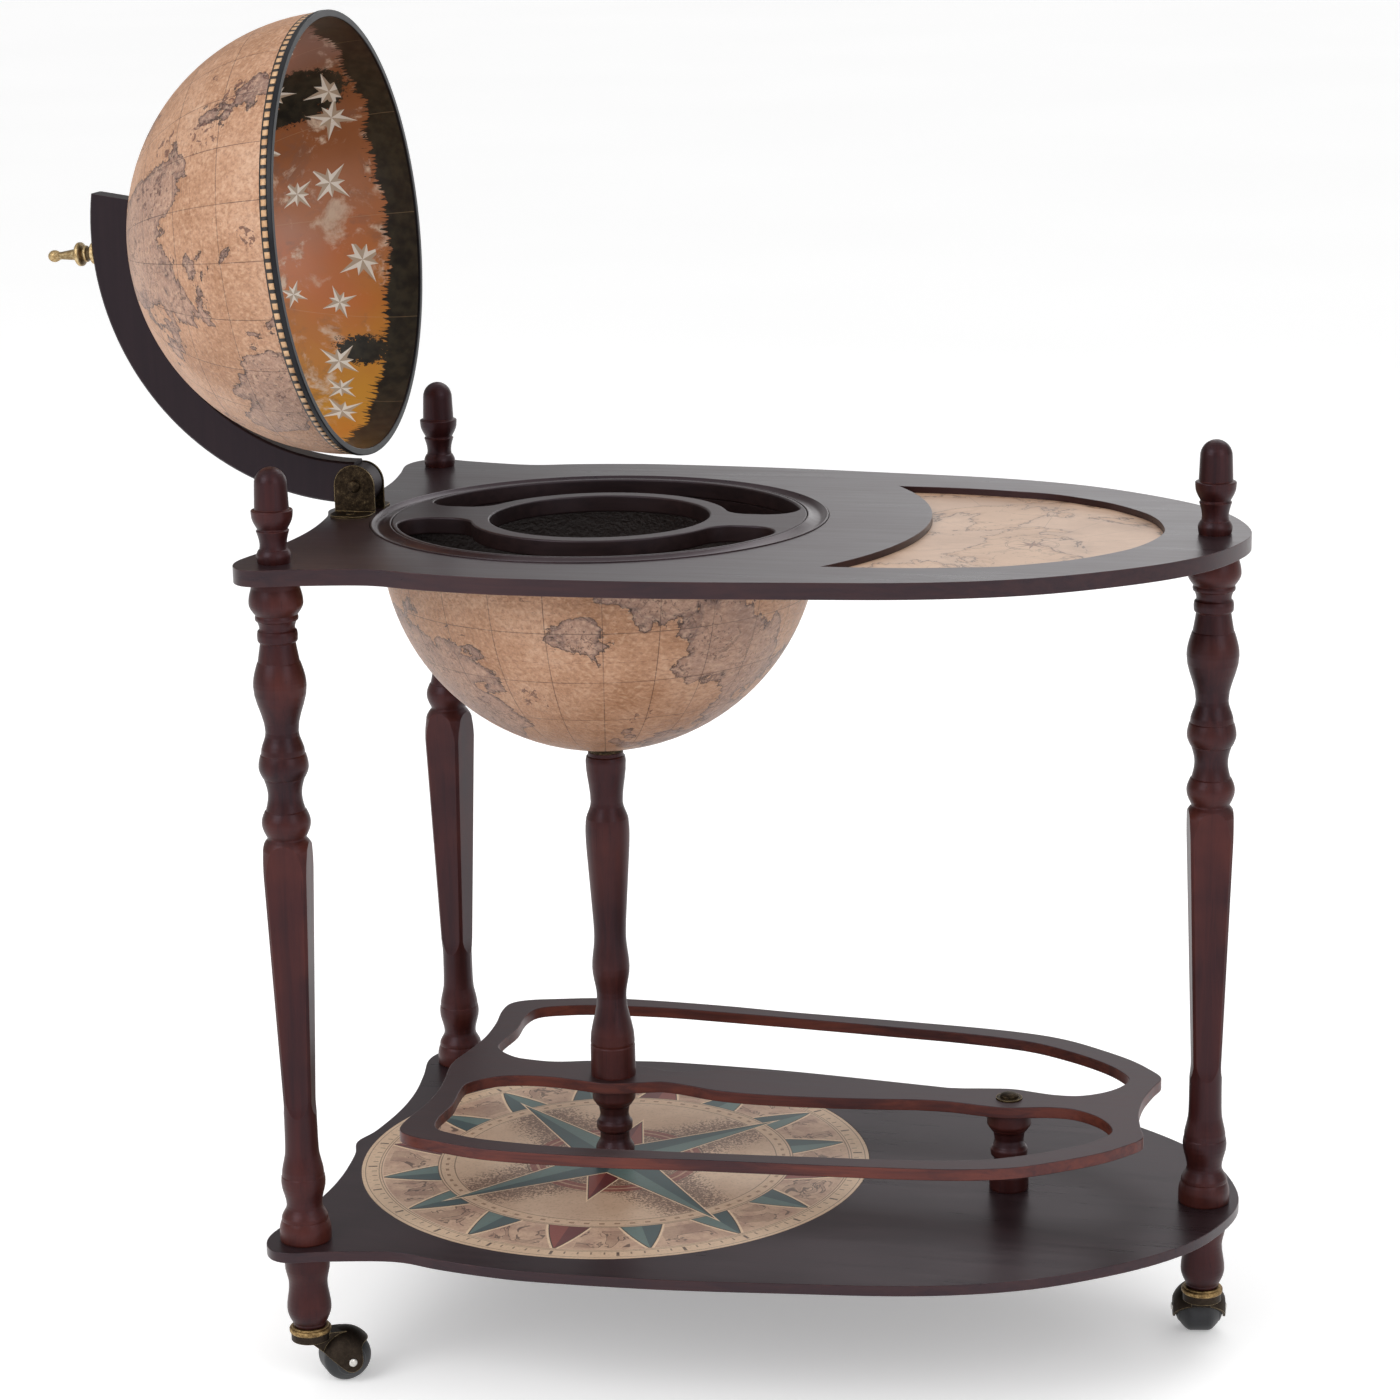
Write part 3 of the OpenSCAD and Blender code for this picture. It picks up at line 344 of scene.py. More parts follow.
# ---------------------------------------------------------------- metal, rubber, black band
def antique_brass(name, bright, mid, dark, wear=0.5, roughness=0.36, spots=1.0, necks=None):
    """Brass browned all over, spotted darker, and bright along its edges from wear, with a
    painted highlight there as well.

    necks: a function of the finish that gives 1 where a painted shade darkens the hollows of a
    turned piece.
    """
    f = Finish(name, roughness=roughness, metallic=1.0)
    patch = f.noise(300, detail=6, rough=0.72, warp=0.3)
    fine = f.noise(2600, detail=3, rough=0.6)
    share = ((patch * 0.6 + fine * 0.45 - 0.52) * spots + 0.52).soft(wear - 0.18, wear + 0.22)
    # painted highlight: the edges lit bright, over brass that wear leaves bright there too
    edges = f.edge_band(0.8 * MM, 0.02, 0.2)
    tone = f.blend(edges * (patch.soft(0.3, 0.6) * 0.35 + 0.6),
                   f.ramp(share, (0.0, dark), (0.6, mid), (1.0, bright)), bright)
    # painted shade: the dark tone laid where necks gives 1
    f.colour(f.blend(necks(f), tone, dark) if necks else tone)
    f.rough(0.58 - (share * 0.5 + edges * 0.5) * (0.58 - roughness))
    f.bump(patch * 0.6 + fine * 0.4, 0.1 * MM, 0.5, EASED_EDGE)
    return f.material


OLD_BRASS = antique_brass("old_brass", srgb(196, 172, 126), srgb(78, 65, 49), srgb(34, 27, 22),
                          wear=0.58)
HOOD_BRASS = antique_brass("hood_brass", srgb(176, 156, 118), srgb(74, 64, 54), srgb(46, 39, 34),
                           wear=0.6, roughness=0.28, spots=0.5)
RIVET_STEEL = antique_brass("rivet_steel", srgb(232, 230, 226), srgb(206, 203, 198),
                            srgb(150, 147, 142), wear=0.4, roughness=0.22)
CUP_BRASS = antique_brass("cup_brass", srgb(206, 178, 124), srgb(140, 114, 76), srgb(66, 50, 36),
                          wear=0.5, roughness=0.3)


def finial_painted_shade(f):
    """Painted shade in the hollows of the arm's finial, next to the arm, and a little on its
    stalk.
    """
    x, y, z = f.parts(f.moved(DOME_CENTRE, (0, OPEN_ANGLE, 0)))
    away = f.math("SQRT", x * x + y * y)
    from_arm = z - ARM_OUT
    hollows = (1.0 - away.soft(5.4 * MM, 6.6 * MM)) * (from_arm < 17 * MM) * 0.85
    face = from_arm.near(11 * MM, 1.8 * MM) * 0.6
    stalk = from_arm.near(23.5 * MM, 7 * MM) * 0.45
    return hollows.most(stalk).most(face)


FINIAL_BRASS = antique_brass("finial_brass", srgb(238, 220, 176), srgb(176, 148, 104),
                             srgb(46, 37, 31), wear=0.47, roughness=0.2, spots=0.7,
                             necks=finial_painted_shade)
BARE_STEEL = antique_brass("bare_steel", srgb(182, 182, 180), srgb(140, 140, 138),
                           srgb(96, 96, 94), wear=0.4)


def wheel_rubber():
    """Grey rubber, dusty where it meets the floor."""
    f = Finish("wheel_rubber", roughness=0.36, specular=0.5)
    dust = f.noise(60, detail=5, rough=0.65)
    on_floor = (f.parts()[2] < 1.2 * MM).soft(0.2, 0.8)
    tone = f.between(dust.soft(0.35, 0.75), srgb(20, 21, 24), srgb(38, 39, 43))
    f.colour(f.blend(on_floor * 0.3, tone, srgb(70, 69, 70)))
    f.rough(dust * 0.2 + 0.34)
    f.bump(f.noise(900, detail=3), 0.08 * MM, 0.4, EASED_EDGE)
    return f.material


def rim_black():
    """Black lacquer with a faint haze."""
    f = Finish("rim_black", roughness=0.36, specular=0.26)
    haze = f.noise(40, detail=4)
    f.colour(f.between(haze.soft(0.3, 0.7), srgb(11, 12, 17), srgb(22, 23, 29)))
    f.rough(haze * 0.16 + 0.3)
    f.bump(f.noise(500, detail=2), 0.06 * MM, 0.4, 0.5 * MM)
    return f.material


WHEEL_RUBBER = wheel_rubber()
RIM_BLACK = rim_black()


# ---------------------------------------------------------------- printed globe
PAPER = srgb(212, 172, 144)
PAPER_MID = srgb(198, 152, 121)
PAPER_DARK = srgb(172, 124, 90)
INK = srgb(58, 40, 36)
LAND_LIGHT = srgb(192, 156, 136)
LAND_DARK = srgb(158, 128, 116)
COAST_SHADE = srgb(96, 76, 74)
GRATICULE = 15.0  # degrees between drawn meridians, and between parallels
GORE = 30.0  # degrees between the seams of the printed paper
TROPIC = 23.5


def on_globe(f, centre, turn):
    """The point on the globe as a unit vector, its parts, its latitude and its longitude."""
    unit = f.unit(f.moved(centre, turn))
    x, y, z = f.parts(unit)
    lat = f.math("ARCSINE", z) * TO_DEGREES
    lon = f.math("ARCTAN2", y, x) * TO_DEGREES
    return unit, x, y, z, lat, lon


def leather(f):
    """Fine crossed wrinkles of embossed paper, 0 in the valleys and 1 on the peaks."""
    one = f.noise(360, f.moved(turn=(0.5, 0.3, 0.6), stretch=(1, 0.4, 1)), detail=3, rough=0.6)
    two = f.noise(480, f.moved(turn=(0.2, 0.9, -0.7), stretch=(0.45, 1, 1)), detail=3, rough=0.6)
    return (one * 0.56 + two * 0.44).soft(0.36, 0.64)


def globe_paper(f, unit, lat, lon, shift, land_level):
    """Old map paper: tinted land with shaded coasts, rivers, a graticule and sea lines."""
    cos_lat = (lat * TO_RADIANS).cos()
    relief = leather(f)
    # land and sea
    where = f.moved(shift, vector=unit)
    inland = f.noise(1.55, where, detail=9, rough=0.57, warp=0.35) - land_level
    land = inland.soft(-0.0008, 0.0008)
    coast = 1.0 - abs(inland).soft(0.0016, 0.0042)
    shade = (1.0 - inland.soft(0.0, 0.03)) * land
    shallow = (1.0 - (-inland).soft(0.0, 0.022)) * (1.0 - land)
    # paper
    stain = f.noise(2.4, where, detail=5, rough=0.6)
    fibre = f.noise(120, f.moved(stretch=(1, 1, 2.2)), detail=4, rough=0.75)
    paper = f.ramp((stain * 0.8 + fibre * 0.32 - 0.06).soft(0.28, 0.78),
                   (0.0, PAPER_DARK), (0.5, PAPER_MID), (1.0, PAPER))
    land_tone = f.between(f.noise(6.0, where, detail=6, rough=0.65).soft(0.3, 0.7),
                          LAND_DARK, LAND_LIGHT)
    base = f.blend(land * 0.75, paper, land_tone)
    base = f.blend(shade * 0.62, base, COAST_SHADE)
    # strokes in the sea along the coasts
    stroke = 1.0 - (lat.to_line(0.8) * MM_PER_DEGREE).soft(0.15, 0.4)
    broken = f.noise(26, f.vector(lon * 0.02, lat * 1.4, 0.0), detail=2).soft(0.4, 0.55)
    base = f.blend(shallow * stroke * broken * 0.7, base, INK)
    base = f.blend(coast * 0.9, base, INK)
    # rivers, borders and hills on the land
    river = (1.0 - abs(f.noise(5.2, where, detail=7, rough=0.6, warp=0.8) - 0.5).soft(
        0.003, 0.008)) * land
    base = f.blend(river * 0.6, base, INK)
    border_field = f.noise(3.4, f.moved((3.1, 1.7, 0.4), vector=unit), detail=5, rough=0.5)
    border = (1.0 - abs(border_field - 0.52).soft(0.0015, 0.005)) * land
    dots = ((lon + lat) * 2.2).sin() > -0.2
    base = f.blend(border * dots * 0.65, base, INK)
    ranges = f.noise(4.5, f.moved((9, 2, 5), vector=unit), detail=2) > 0.52
    hills = (f.noise(62, where, detail=2, rough=0.5) > 0.63) * land * ranges
    base = f.blend(hills * 0.6, base, srgb(84, 60, 54))
    # groups of small dark islands
    reef_zone = f.noise(3.1, f.moved((6.2, 1.4, 8.8), vector=unit), detail=2) > 0.66
    reefs = (f.noise(30, where, detail=4, rough=0.55, warp=0.6) > 0.56) * reef_zone
    base = f.blend(reefs * 0.75, base, srgb(86, 50, 46))
    # graticule
    meridian = lon.to_line(GRATICULE) * cos_lat * MM_PER_DEGREE
    parallel = lat.to_line(GRATICULE) * MM_PER_DEGREE
    fade = f.noise(30, detail=2).soft(0.3, 0.6) * 0.3 + 0.5
    for line in (meridian, parallel):
        base = f.blend((1.0 - line.soft(0.16, 0.42)) * fade, base, INK)
    # two dashed circles
    for circle in (TROPIC, -TROPIC):
        dash = (lon / 3.0).modulo(1.0) > 0.42
        line = 1.0 - (abs(lat - circle) * MM_PER_DEGREE).soft(0.14, 0.4)
        base = f.blend(line * dash * 0.5, base, srgb(110, 60, 44))
    # towns, and short wind strokes over the sea
    grouped = f.noise(5, f.moved((4, 4, 1), vector=unit), detail=1) > 0.5
    from_town = Num(f, f.cells(34, where).outputs["Distance"])
    base = f.blend((from_town < 0.075) * land * grouped * 0.75, base, INK)
    row_step = 2.3
    row = 1.0 - (lat.to_line(row_step) * MM_PER_DEGREE).soft(0.3, 0.7)
    row_place = f.vector(lon * 0.42, (lat / row_step).floor() * 3.7, 0.0)
    ticks = f.noise(7, row_place, detail=3) > 0.6
    open_sea = f.noise(4.2, f.moved((2, 7, 3), vector=unit), detail=1) > 0.56
    base = f.blend(row * ticks * open_sea * (1.0 - land) * 0.5, base, INK)
    gores = lon.to_line(GORE) * cos_lat * MM_PER_DEGREE
    base = f.blend((1.0 - gores.soft(0.1, 0.5)) * 0.15, base, srgb(120, 80, 56))
    # painted shade in the relief's valleys and painted highlight on its peaks, over the bump
    # itself
    base = f.blend((1.0 - relief.soft(0.0, 0.5)) * 0.34, base, srgb(120, 78, 54))
    base = f.blend(relief.soft(0.62, 1.0) * 0.3, base, srgb(228, 194, 166))
    return base, relief, fibre


def globe_print(name, centre, turn, shift, land_level, inside=None):
    """Printed paper over the shell.

    turn: brings the globe's pole upright. shift: which coasts are drawn. land_level: a lower one
    gives more land. inside: the colour of the shell's other side.
    """
    f = Finish(name, roughness=0.46, specular=0.4)
    unit, _, _, z, lat, lon = on_globe(f, centre, turn)
    base, relief, fibre = globe_paper(f, unit, lat, lon, shift, land_level)
    # painted shade: browner and darker towards the lower pole
    base = f.blend((1.0 - (z + 1.0).soft(0.0, 0.75)) * 0.3, base, srgb(112, 66, 40))
    if inside is not None:
        base = f.blend(f.size(f.moved(centre, turn)) < GLOBE_R - 1.2 * MM, base, inside)
    f.colour(base)
    f.rough(relief * 0.16 + 0.36)
    f.bump(relief * 0.8 + fibre * 0.2, 0.9 * MM, 0.75)
    return f.material


TURN_TO_CLOSED = (0, OPEN_ANGLE, 0)
BOWL_PRINT = globe_print("bowl_print", BOWL_CENTRE, (0, 0, 0), (2.2, 0.4, 6.1), 0.53,
                         inside=srgb(36, 25, 22))
DOME_PRINT = globe_print("dome_print", DOME_CENTRE, TURN_TO_CLOSED, (7.4, 3.1, 1.2), 0.55)


def star_rays(angle, r, count, first, valley, tip):
    """How far inside a star of straight rays a point lies, and which half of a ray it is on.

    first: where one ray points. valley, tip: the star's inner and outer radius.
    """
    step = 2 * math.pi / count
    folded = (angle - first + step / 2).modulo(step) - step / 2
    side = folded > 0.0
    a = abs(folded)
    along, across = r * a.cos(), r * a.sin()
    k = valley * math.sin(step / 2) / (tip - valley * math.cos(step / 2))
    return ((tip - along) * k - across) / math.sqrt(1 + k * k), side


# ---------------------------------------------------------------- painted sky in the lid
def lid_sky():
    """Evening sky: warm gradient, cream clouds, eight-pointed stars, dark hills at the rim."""
    f = Finish("lid_sky", roughness=0.3, specular=0.5)
    unit, x, y, z, lat, lon = on_globe(f, DOME_CENTRE, TURN_TO_CLOSED)
    haze = f.noise(2.1, unit, detail=5, rough=0.55, warp=0.5)
    height = x * 0.5 + 0.5 + (haze - 0.5) * 0.4
    sky = f.ramp(height, (0.0, srgb(222, 166, 60)), (0.26, srgb(204, 130, 58)),
                 (0.5, srgb(188, 120, 78)), (0.76, srgb(158, 98, 60)), (1.0, srgb(112, 70, 40)))
    glow = f.noise(1.7, f.moved((7.0, 3.0, 1.0), vector=unit), detail=3).soft(0.5, 0.72)
    sky = f.blend(glow * 0.5, sky, srgb(218, 112, 40))
    # clouds, lit on one side and grey below
    for place, high, share in (((1.3, 5.0, 2.0), 0.66, 0.9), ((4.1, 0.6, 7.2), 0.7, 0.75)):
        puffs = f.noise(4.6, f.moved(place, vector=unit), detail=9, rough=0.66, warp=0.35)
        below = f.noise(4.6, f.moved([c + 0.03 for c in place], vector=unit), detail=9,
                        rough=0.66, warp=0.35)
        sky = f.blend(below.soft(0.53, high) * 0.4, sky, srgb(128, 98, 84))
        sky = f.blend(puffs.soft(0.55, high) * share, sky, srgb(236, 214, 190))
    pale = f.noise(1.3, f.moved((0.4, 6.0, 2.0), vector=unit), detail=2).soft(0.5, 0.7)
    sky = f.blend(pale * 0.4, sky, srgb(196, 166, 160))
    # dark hills and firs round the rim, and the crowns of a few broad trees behind them
    round_rim = f.vector(x, y, 0.0)
    ridge = f.noise(4.5, round_rim, detail=6, rough=0.62)
    uneven = f.noise(60, round_rim, detail=3, rough=0.7)
    firs = (1.0 - (lon + ridge * 9.0 + uneven * 2.6).to_line(1.3) / 0.65) * uneven.soft(0.3, 0.7)
    top_edge = ridge * 0.2 + firs * 0.06 + uneven * 0.03 + 0.03
    leaf = f.noise(46, unit, detail=5, rough=0.75)
    crowns = None  # each at a longitude and a latitude, with its half width
    for place, height, spread in ((46, 25, 0.25), (131, 15, 0.13), (178, 13, 0.09),
                                  (-20, 20, 0.16), (-78, 24, 0.22), (-136, 16, 0.13)):
        a, e = math.radians(place), math.radians(height)
        middle = (math.cos(a) * math.cos(e), math.sin(a) * math.cos(e), math.sin(e))
        apart = f.vectors("SUBTRACT", unit, middle).outputs["Vector"]
        along_rim = f.dot(apart, (-math.sin(a), math.cos(a), 0.0))
        away = f.math("SQRT", f.dot(apart, apart) + along_rim * along_rim * 1.6)
        crown = (away + (leaf - 0.5) * 0.26 + (ridge - 0.5) * 0.2) < spread
        crowns = crown if crowns is None else crowns.most(crown)
    hills = (top_edge - z).soft(-0.003, 0.003).most(crowns * (leaf > 0.34))
    hill_tone = f.between(f.noise(20, unit, detail=5).soft(0.3, 0.7),
                          srgb(30, 30, 26), srgb(58, 54, 43))
    sky = f.blend(hills, sky, hill_tone)
    # stars: one in some of the cells, laid flat on the shell, each with eight points
    scatter = f.cells(4.1, unit, uneven=0.8)
    seat = scatter.outputs["Position"]
    heart = f.unit(seat)
    offset = f.vectors("SUBTRACT", unit, heart).outputs["Vector"]
    east = f.unit(f.cross((0.0, 0.0, 1.0), heart))
    across, along = f.dot(offset, east), f.dot(offset, f.cross(heart, east))
    chance, bulk, spin = f.parts(scatter.outputs["Color"])
    smallest, spread = 0.076, 0.07  # in shares of the globe's radius
    reach = bulk * spread + smallest
    away = f.math("SQRT", across * across + along * along)
    scaled = f.math("DIVIDE", away, reach)
    angle = f.math("ARCTAN2", along, across) + spin * 6.28  # turned any way
    long_ray, light_side = star_rays(angle, scaled, 4, 0.0, 0.26, 1.0)
    short_ray, lit = star_rays(angle, scaled, 4, math.pi / 4, 0.26, 0.62)
    near_shell = f.size(seat).within(0.87, 1.13)
    above_hills = f.parts(heart)[2] > 0.27
    shown = (chance > 0.12) * near_shell * above_hills
    cream, shadow = srgb(250, 245, 234), srgb(196, 178, 156)
    sky = f.blend((short_ray > 0.0) * shown * 0.95, sky, f.blend(lit, shadow, cream))
    sky = f.blend((long_ray > 0.0) * shown * 0.95, sky, f.blend(light_side, cream, shadow))
    seams = lon.to_line(GORE) * (lat * TO_RADIANS).cos() * MM_PER_DEGREE
    sky = f.blend((1.0 - seams.soft(0.15, 0.45)) * 0.22, sky, srgb(210, 180, 140))
    f.colour(sky)
    f.rough(haze * 0.12 + 0.26)
    f.bump(f.noise(26, detail=4) + (1.0 - seams.soft(0.2, 0.7)) * 0.3, 0.6 * MM, 0.3)
    return f.material


LID_SKY = lid_sky()


# ---------------------------------------------------------------- compass print
TEAL = srgb(96, 116, 112)
TEAL_DARK = srgb(66, 84, 86)
WINE = srgb(130, 68, 60)
WINE_DARK = srgb(98, 46, 46)
CREAM = srgb(204, 174, 146)
CREAM_LIGHT = srgb(224, 196, 164)


def compass_print():
    """Round print: a compass rose in a ring of leaves, with a scale along its border."""
    f = Finish("compass_print", roughness=0.34)
    x, y, _ = f.parts(f.moved((GLOBE_X, 0, 0), stretch=(TO_MM, TO_MM, TO_MM)))
    r = f.math("SQRT", x * x + y * y)
    angle = f.math("ARCTAN2", y, x)
    full = COMPASS_R * TO_MM
    scale_in, scale_out, long_mark = full * 0.94, full * 0.96, full * 0.975
    fields_in, fields_out = full * 0.70, full * 0.915
    band_in = full * 0.635
    bead_ring, wine_ring = full * 0.664, full * 0.31
    stain = f.noise(10, detail=6, rough=0.62)
    speck = f.noise(420, detail=2, rough=0.7)
    base = f.between(stain.soft(0.3, 0.7), srgb(190, 158, 132), srgb(214, 186, 160))

    def ring(at, half, colour, share):
        """A drawn ring of a radius and half a width, in millimetres."""
        nonlocal base
        base = f.blend(r.near(at, half) * share, base, colour)

    degrees = angle * TO_DEGREES
    # outer border with a fine scale
    base = f.blend((r > full * 0.925) * 0.6, base, srgb(208, 180, 150))
    base = f.blend((degrees.to_line(3.0) < 0.2) * r.within(scale_in, scale_out) * 0.7,
                   base, INK)
    base = f.blend((degrees.to_line(15.0) < 0.35) * r.within(scale_in, long_mark) * 0.8,
                   base, INK)
    for at in (0.922, 0.932, 0.985):
        ring(full * at, 0.35, INK, 0.65)
    # ring of fields, darker paper with drawn scrolls, parted by pointed teal and wine leaves
    field = r.within(fields_in, fields_out)
    field_tone = f.between(f.noise(55, detail=6, rough=0.7).soft(0.35, 0.65),
                           srgb(166, 130, 112), srgb(200, 168, 142))
    base = f.blend(field * 0.8, base, field_tone)
    slot = degrees / 22.5
    inside_slot = (slot + 0.5).modulo(1.0) - 0.5
    wine_turn = (slot + 0.5).floor().modulo(4.0) < 0.5
    depth = (r - fields_in) / (fields_out - fields_in)
    leaf = (1.0 - depth) * 0.56 - abs(inside_slot) * 2.0
    heart = f.noise(34, detail=3, rough=0.6, warp=1.2) - 0.5
    drawn = (1.0 - abs(heart).soft(0.01, 0.024)) * (leaf < -0.12)
    middle = r.within(full * 0.735, full * 0.895) * (abs(inside_slot) > 0.2)
    base = f.blend(drawn * middle * 0.75, base, INK)
    base = f.blend((heart > 0.03) * middle * (leaf < -0.12) * 0.3, base, srgb(96, 62, 52))
    shade_side = inside_slot > 0.0
    leaf_colour = f.blend(wine_turn, f.blend(shade_side, TEAL, TEAL_DARK),
                          f.blend(shade_side, WINE, WINE_DARK))
    base = f.blend((leaf > -0.09) * field, base, CREAM_LIGHT)
    base = f.blend((leaf > -0.03) * field, base, INK)
    base = f.blend((leaf > 0.0) * field, base, leaf_colour)
    # band between the fields and the inner disc
    base = f.blend(r.within(band_in, fields_in) * 0.9, base, CREAM)
    for at in (fields_in, full * 0.69, band_in):
        ring(at, 0.4, INK, 0.65)
    beads = (degrees.to_line(5.0) < 0.9) * r.near(bead_ring, 1.3)
    base = f.blend(beads * 0.7, base, srgb(120, 82, 58))
    # inner disc, stippled darker round the rays
    disc = r < full * 0.63
    star_a, half_a = star_rays(angle, r, 4, math.pi / 4, full * 0.135, full * 0.72)
    near_ray = 1.0 - (-star_a).soft(0.0, full * 0.2)
    dust = f.noise(520, detail=2, rough=0.7) > 0.62 - near_ray * 0.2
    base = f.blend(dust * disc * near_ray.soft(0.0, 0.4) * 0.75, base, srgb(84, 54, 46))
    # wine ring and star of four rays along the axes
    ring(wine_ring, 6.0, WINE, 0.85)
    ring(wine_ring, 1.0, CREAM_LIGHT, 0.4)
    for at in (0.35, 0.27):
        ring(full * at, 0.45, INK, 0.7)
    star_b, half_b = star_rays(angle, r, 4, 0.0, full * 0.12, full * 0.42)
    for inner_line, tone in ((-1.8, CREAM_LIGHT), (-0.6, INK)):
        base = f.blend(star_b > inner_line, base, tone)
    base = f.blend(star_b > 0.0, base, f.blend(half_b, WINE, WINE_DARK))
    for inner_line, tone in ((-1.8, CREAM_LIGHT), (-0.6, INK)):
        base = f.blend(star_a > inner_line, base, tone)
    base = f.blend(star_a > 0.0, base, f.blend(half_a, TEAL, TEAL_DARK))
    ring(0.0, full * 0.055, CREAM_LIGHT, 0.9)
    ring(full * 0.055, 0.5, INK, 0.8)
    base = f.blend(speck.soft(0.5, 0.7) * 0.22, base, srgb(96, 66, 50))
    f.colour(base)
    f.rough(stain * 0.12 + 0.28)
    f.bump(speck, 0.08 * MM, 0.4)
    return f.material


COMPASS_PRINT = compass_print()


# ---------------------------------------------------------------- map panel
def map_panel():
    """Plain sea chart: coasts with hatched water, rivers, sea lines and a small rose."""
    f = Finish("map_panel", roughness=0.38)
    x, y, _ = f.parts(f.moved((MAP_X, 0, 0)))
    stain = f.noise(14, detail=6, rough=0.62)
    speck = f.noise(420, detail=2, rough=0.7)
    base = f.between(stain.soft(0.3, 0.72), srgb(174, 141, 116), srgb(200, 168, 143))
    inland = f.noise(9.5, f.moved((3.3, 1.2, 0.5)), detail=9, rough=0.6, warp=0.4) - 0.5
    land = inland.soft(-0.001, 0.001)
    base = f.blend(land * 0.35, base, srgb(196, 158, 124))
    rim = (1.0 - inland.soft(0.0, 0.05)) * land
    base = f.blend(rim * 0.3, base, srgb(134, 92, 64))
    base = f.blend((1.0 - abs(inland).soft(0.002, 0.006)) * 0.75, base, INK)
    sea = (1.0 - (-inland).soft(0.0, 0.045)) * (1.0 - land)
    hatch = 1.0 - (y * TO_MM).to_line(2.4).soft(0.2, 0.5)
    base = f.blend(sea * hatch * 0.42, base, INK)
    rivers = (1.0 - abs(f.noise(30, detail=6, warp=0.9) - 0.5).soft(0.004, 0.012)) * land
    base = f.blend(rivers * 0.4, base, INK)
    # sea lines from one point, with two rings and a small eight-pointed rose round it
    rose_x, rose_y = 20 * MM, -35 * MM
    dx, dy = x - rose_x, y - rose_y
    away = f.math("SQRT", dx * dx + dy * dy)
    turn = f.math("ARCTAN2", dy, dx) * TO_DEGREES
    rhumb = turn.to_line(22.5) * TO_RADIANS * away * TO_MM
    base = f.blend((1.0 - rhumb.soft(0.12, 0.32)) * (1.0 - land) * 0.4, base, INK)
    for at in (18 * MM, 19.5 * MM):
        base = f.blend(away.near(at, 0.2 * MM) * 0.6, base, INK)
    rose, half = star_rays(turn * TO_RADIANS, away, 8, 0.0, 3.5 * MM, 16 * MM)
    base = f.blend((rose > 0.0) * 0.75, base, f.blend(half, srgb(120, 72, 52), srgb(74, 50, 42)))
    base = f.blend(speck.soft(0.55, 0.75) * 0.2, base, srgb(130, 92, 62))
    f.colour(base)
    f.rough(stain * 0.1 + 0.34)
    f.bump(speck, 0.08 * MM, 0.4)
    return f.material


MAP_PANEL = map_panel()


# ---------------------------------------------------------------- each piece's finish
def add_object(name, data):
    """A new object in the scene."""
    o = bpy.data.objects.new(name, data)
    bpy.context.scene.collection.objects.link(o)
    return o


def cover(mesh, material):
    """One material all over, in place of any other."""
    mesh.materials.clear()
    mesh.materials.append(material)


def smooth(mesh):
    for polygon in mesh.polygons:
        polygon.use_smooth = True


CORNERS = ("front_left", "back_left", "right")
BY_NODE = {
    "compass_print": COMPASS_PRINT, "map_print": MAP_PANEL,
    "ring_moulding": RING_WOOD, "bowl_hoop": TRAY_WOOD,
    "globe_bowl": BOWL_PRINT, "globe_dome": DOME_PRINT,
    "dome_lining": LID_SKY, "dome_rim": RIM_BLACK,
    "centre_post": TURNED_WOOD, "post_spacer": TURNED_WOOD, "rail_spacer": TURNED_WOOD,
    "post_washer": OLD_BRASS, "rail_washer": OLD_BRASS, "rail_bolt": OLD_BRASS,
    "tie_rod": BARE_STEEL, "rod_nuts": BARE_STEEL, "leg_studs": BARE_STEEL,
    "hinge_bracket_front": OLD_BRASS, "hinge_bracket_rear": OLD_BRASS,
    "hinge_pin": OLD_BRASS, "bracket_screws": OLD_BRASS,
    "meridian_arm": ARM_WOOD, "arm_finial": FINIAL_BRASS,
    "polar_bolt": OLD_BRASS, "polar_collar": OLD_BRASS, "polar_nut": OLD_BRASS,
    "lower_shelf": SHELF_WOOD, "top_shelf": SHELF_WOOD,
    "gallery": RAIL_WOOD, "bottle_tray": TRAY_WOOD,
}
for corner in CORNERS:
    for kind in ("finial", "leg", "foot"):
        BY_NODE[f"{kind}_{corner}"] = TURNED_WOOD
    BY_NODE[f"caster_cup_{corner}"] = CUP_BRASS
    BY_NODE[f"caster_hood_{corner}"] = HOOD_BRASS
    BY_NODE[f"caster_axle_{corner}"] = RIVET_STEEL
    BY_NODE[f"caster_wheel_{corner}"] = WHEEL_RUBBER
for node, material in BY_NODE.items():
    cover(NODES[node].data, material)


# ---------------------------------------------------------------- panels with eased edges
def eased_panel(node, body, material, width):
    """The panel again, with its sharp edges rounded over as a router leaves them."""
    mesh = NODES[node].data.copy()
    work = bmesh.new()
    work.from_mesh(mesh)
    bmesh.ops.remove_doubles(work, verts=work.verts, dist=1e-6)
    bmesh.ops.dissolve_limit(work, angle_limit=math.radians(0.5), verts=work.verts,
                             edges=work.edges)
    work.to_mesh(mesh)
    work.free()
    cover(mesh, material)
    smooth(mesh)
    piece = add_object(node + "_eased", mesh)
    round_over = piece.modifiers.new("round over", "BEVEL")
    round_over.width = width
    round_over.segments = 3
    round_over.limit_method = "ANGLE"
    round_over.angle_limit = math.radians(50)
    round_over.use_clamp_overlap = True
    even = piece.modifiers.new("even shading", "WEIGHTED_NORMAL")
    even.keep_sharp = True
    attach(piece, body)
    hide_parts(node)


eased_panel("top_shelf", "stand", SHELF_WOOD, 1.0 * MM)
eased_panel("lower_shelf", "stand", SHELF_WOOD, 1.0 * MM)
eased_panel("gallery", "stand", RAIL_WOOD, 1.2 * MM)
eased_panel("bottle_tray", "stand", TRAY_WOOD, 1.4 * MM)


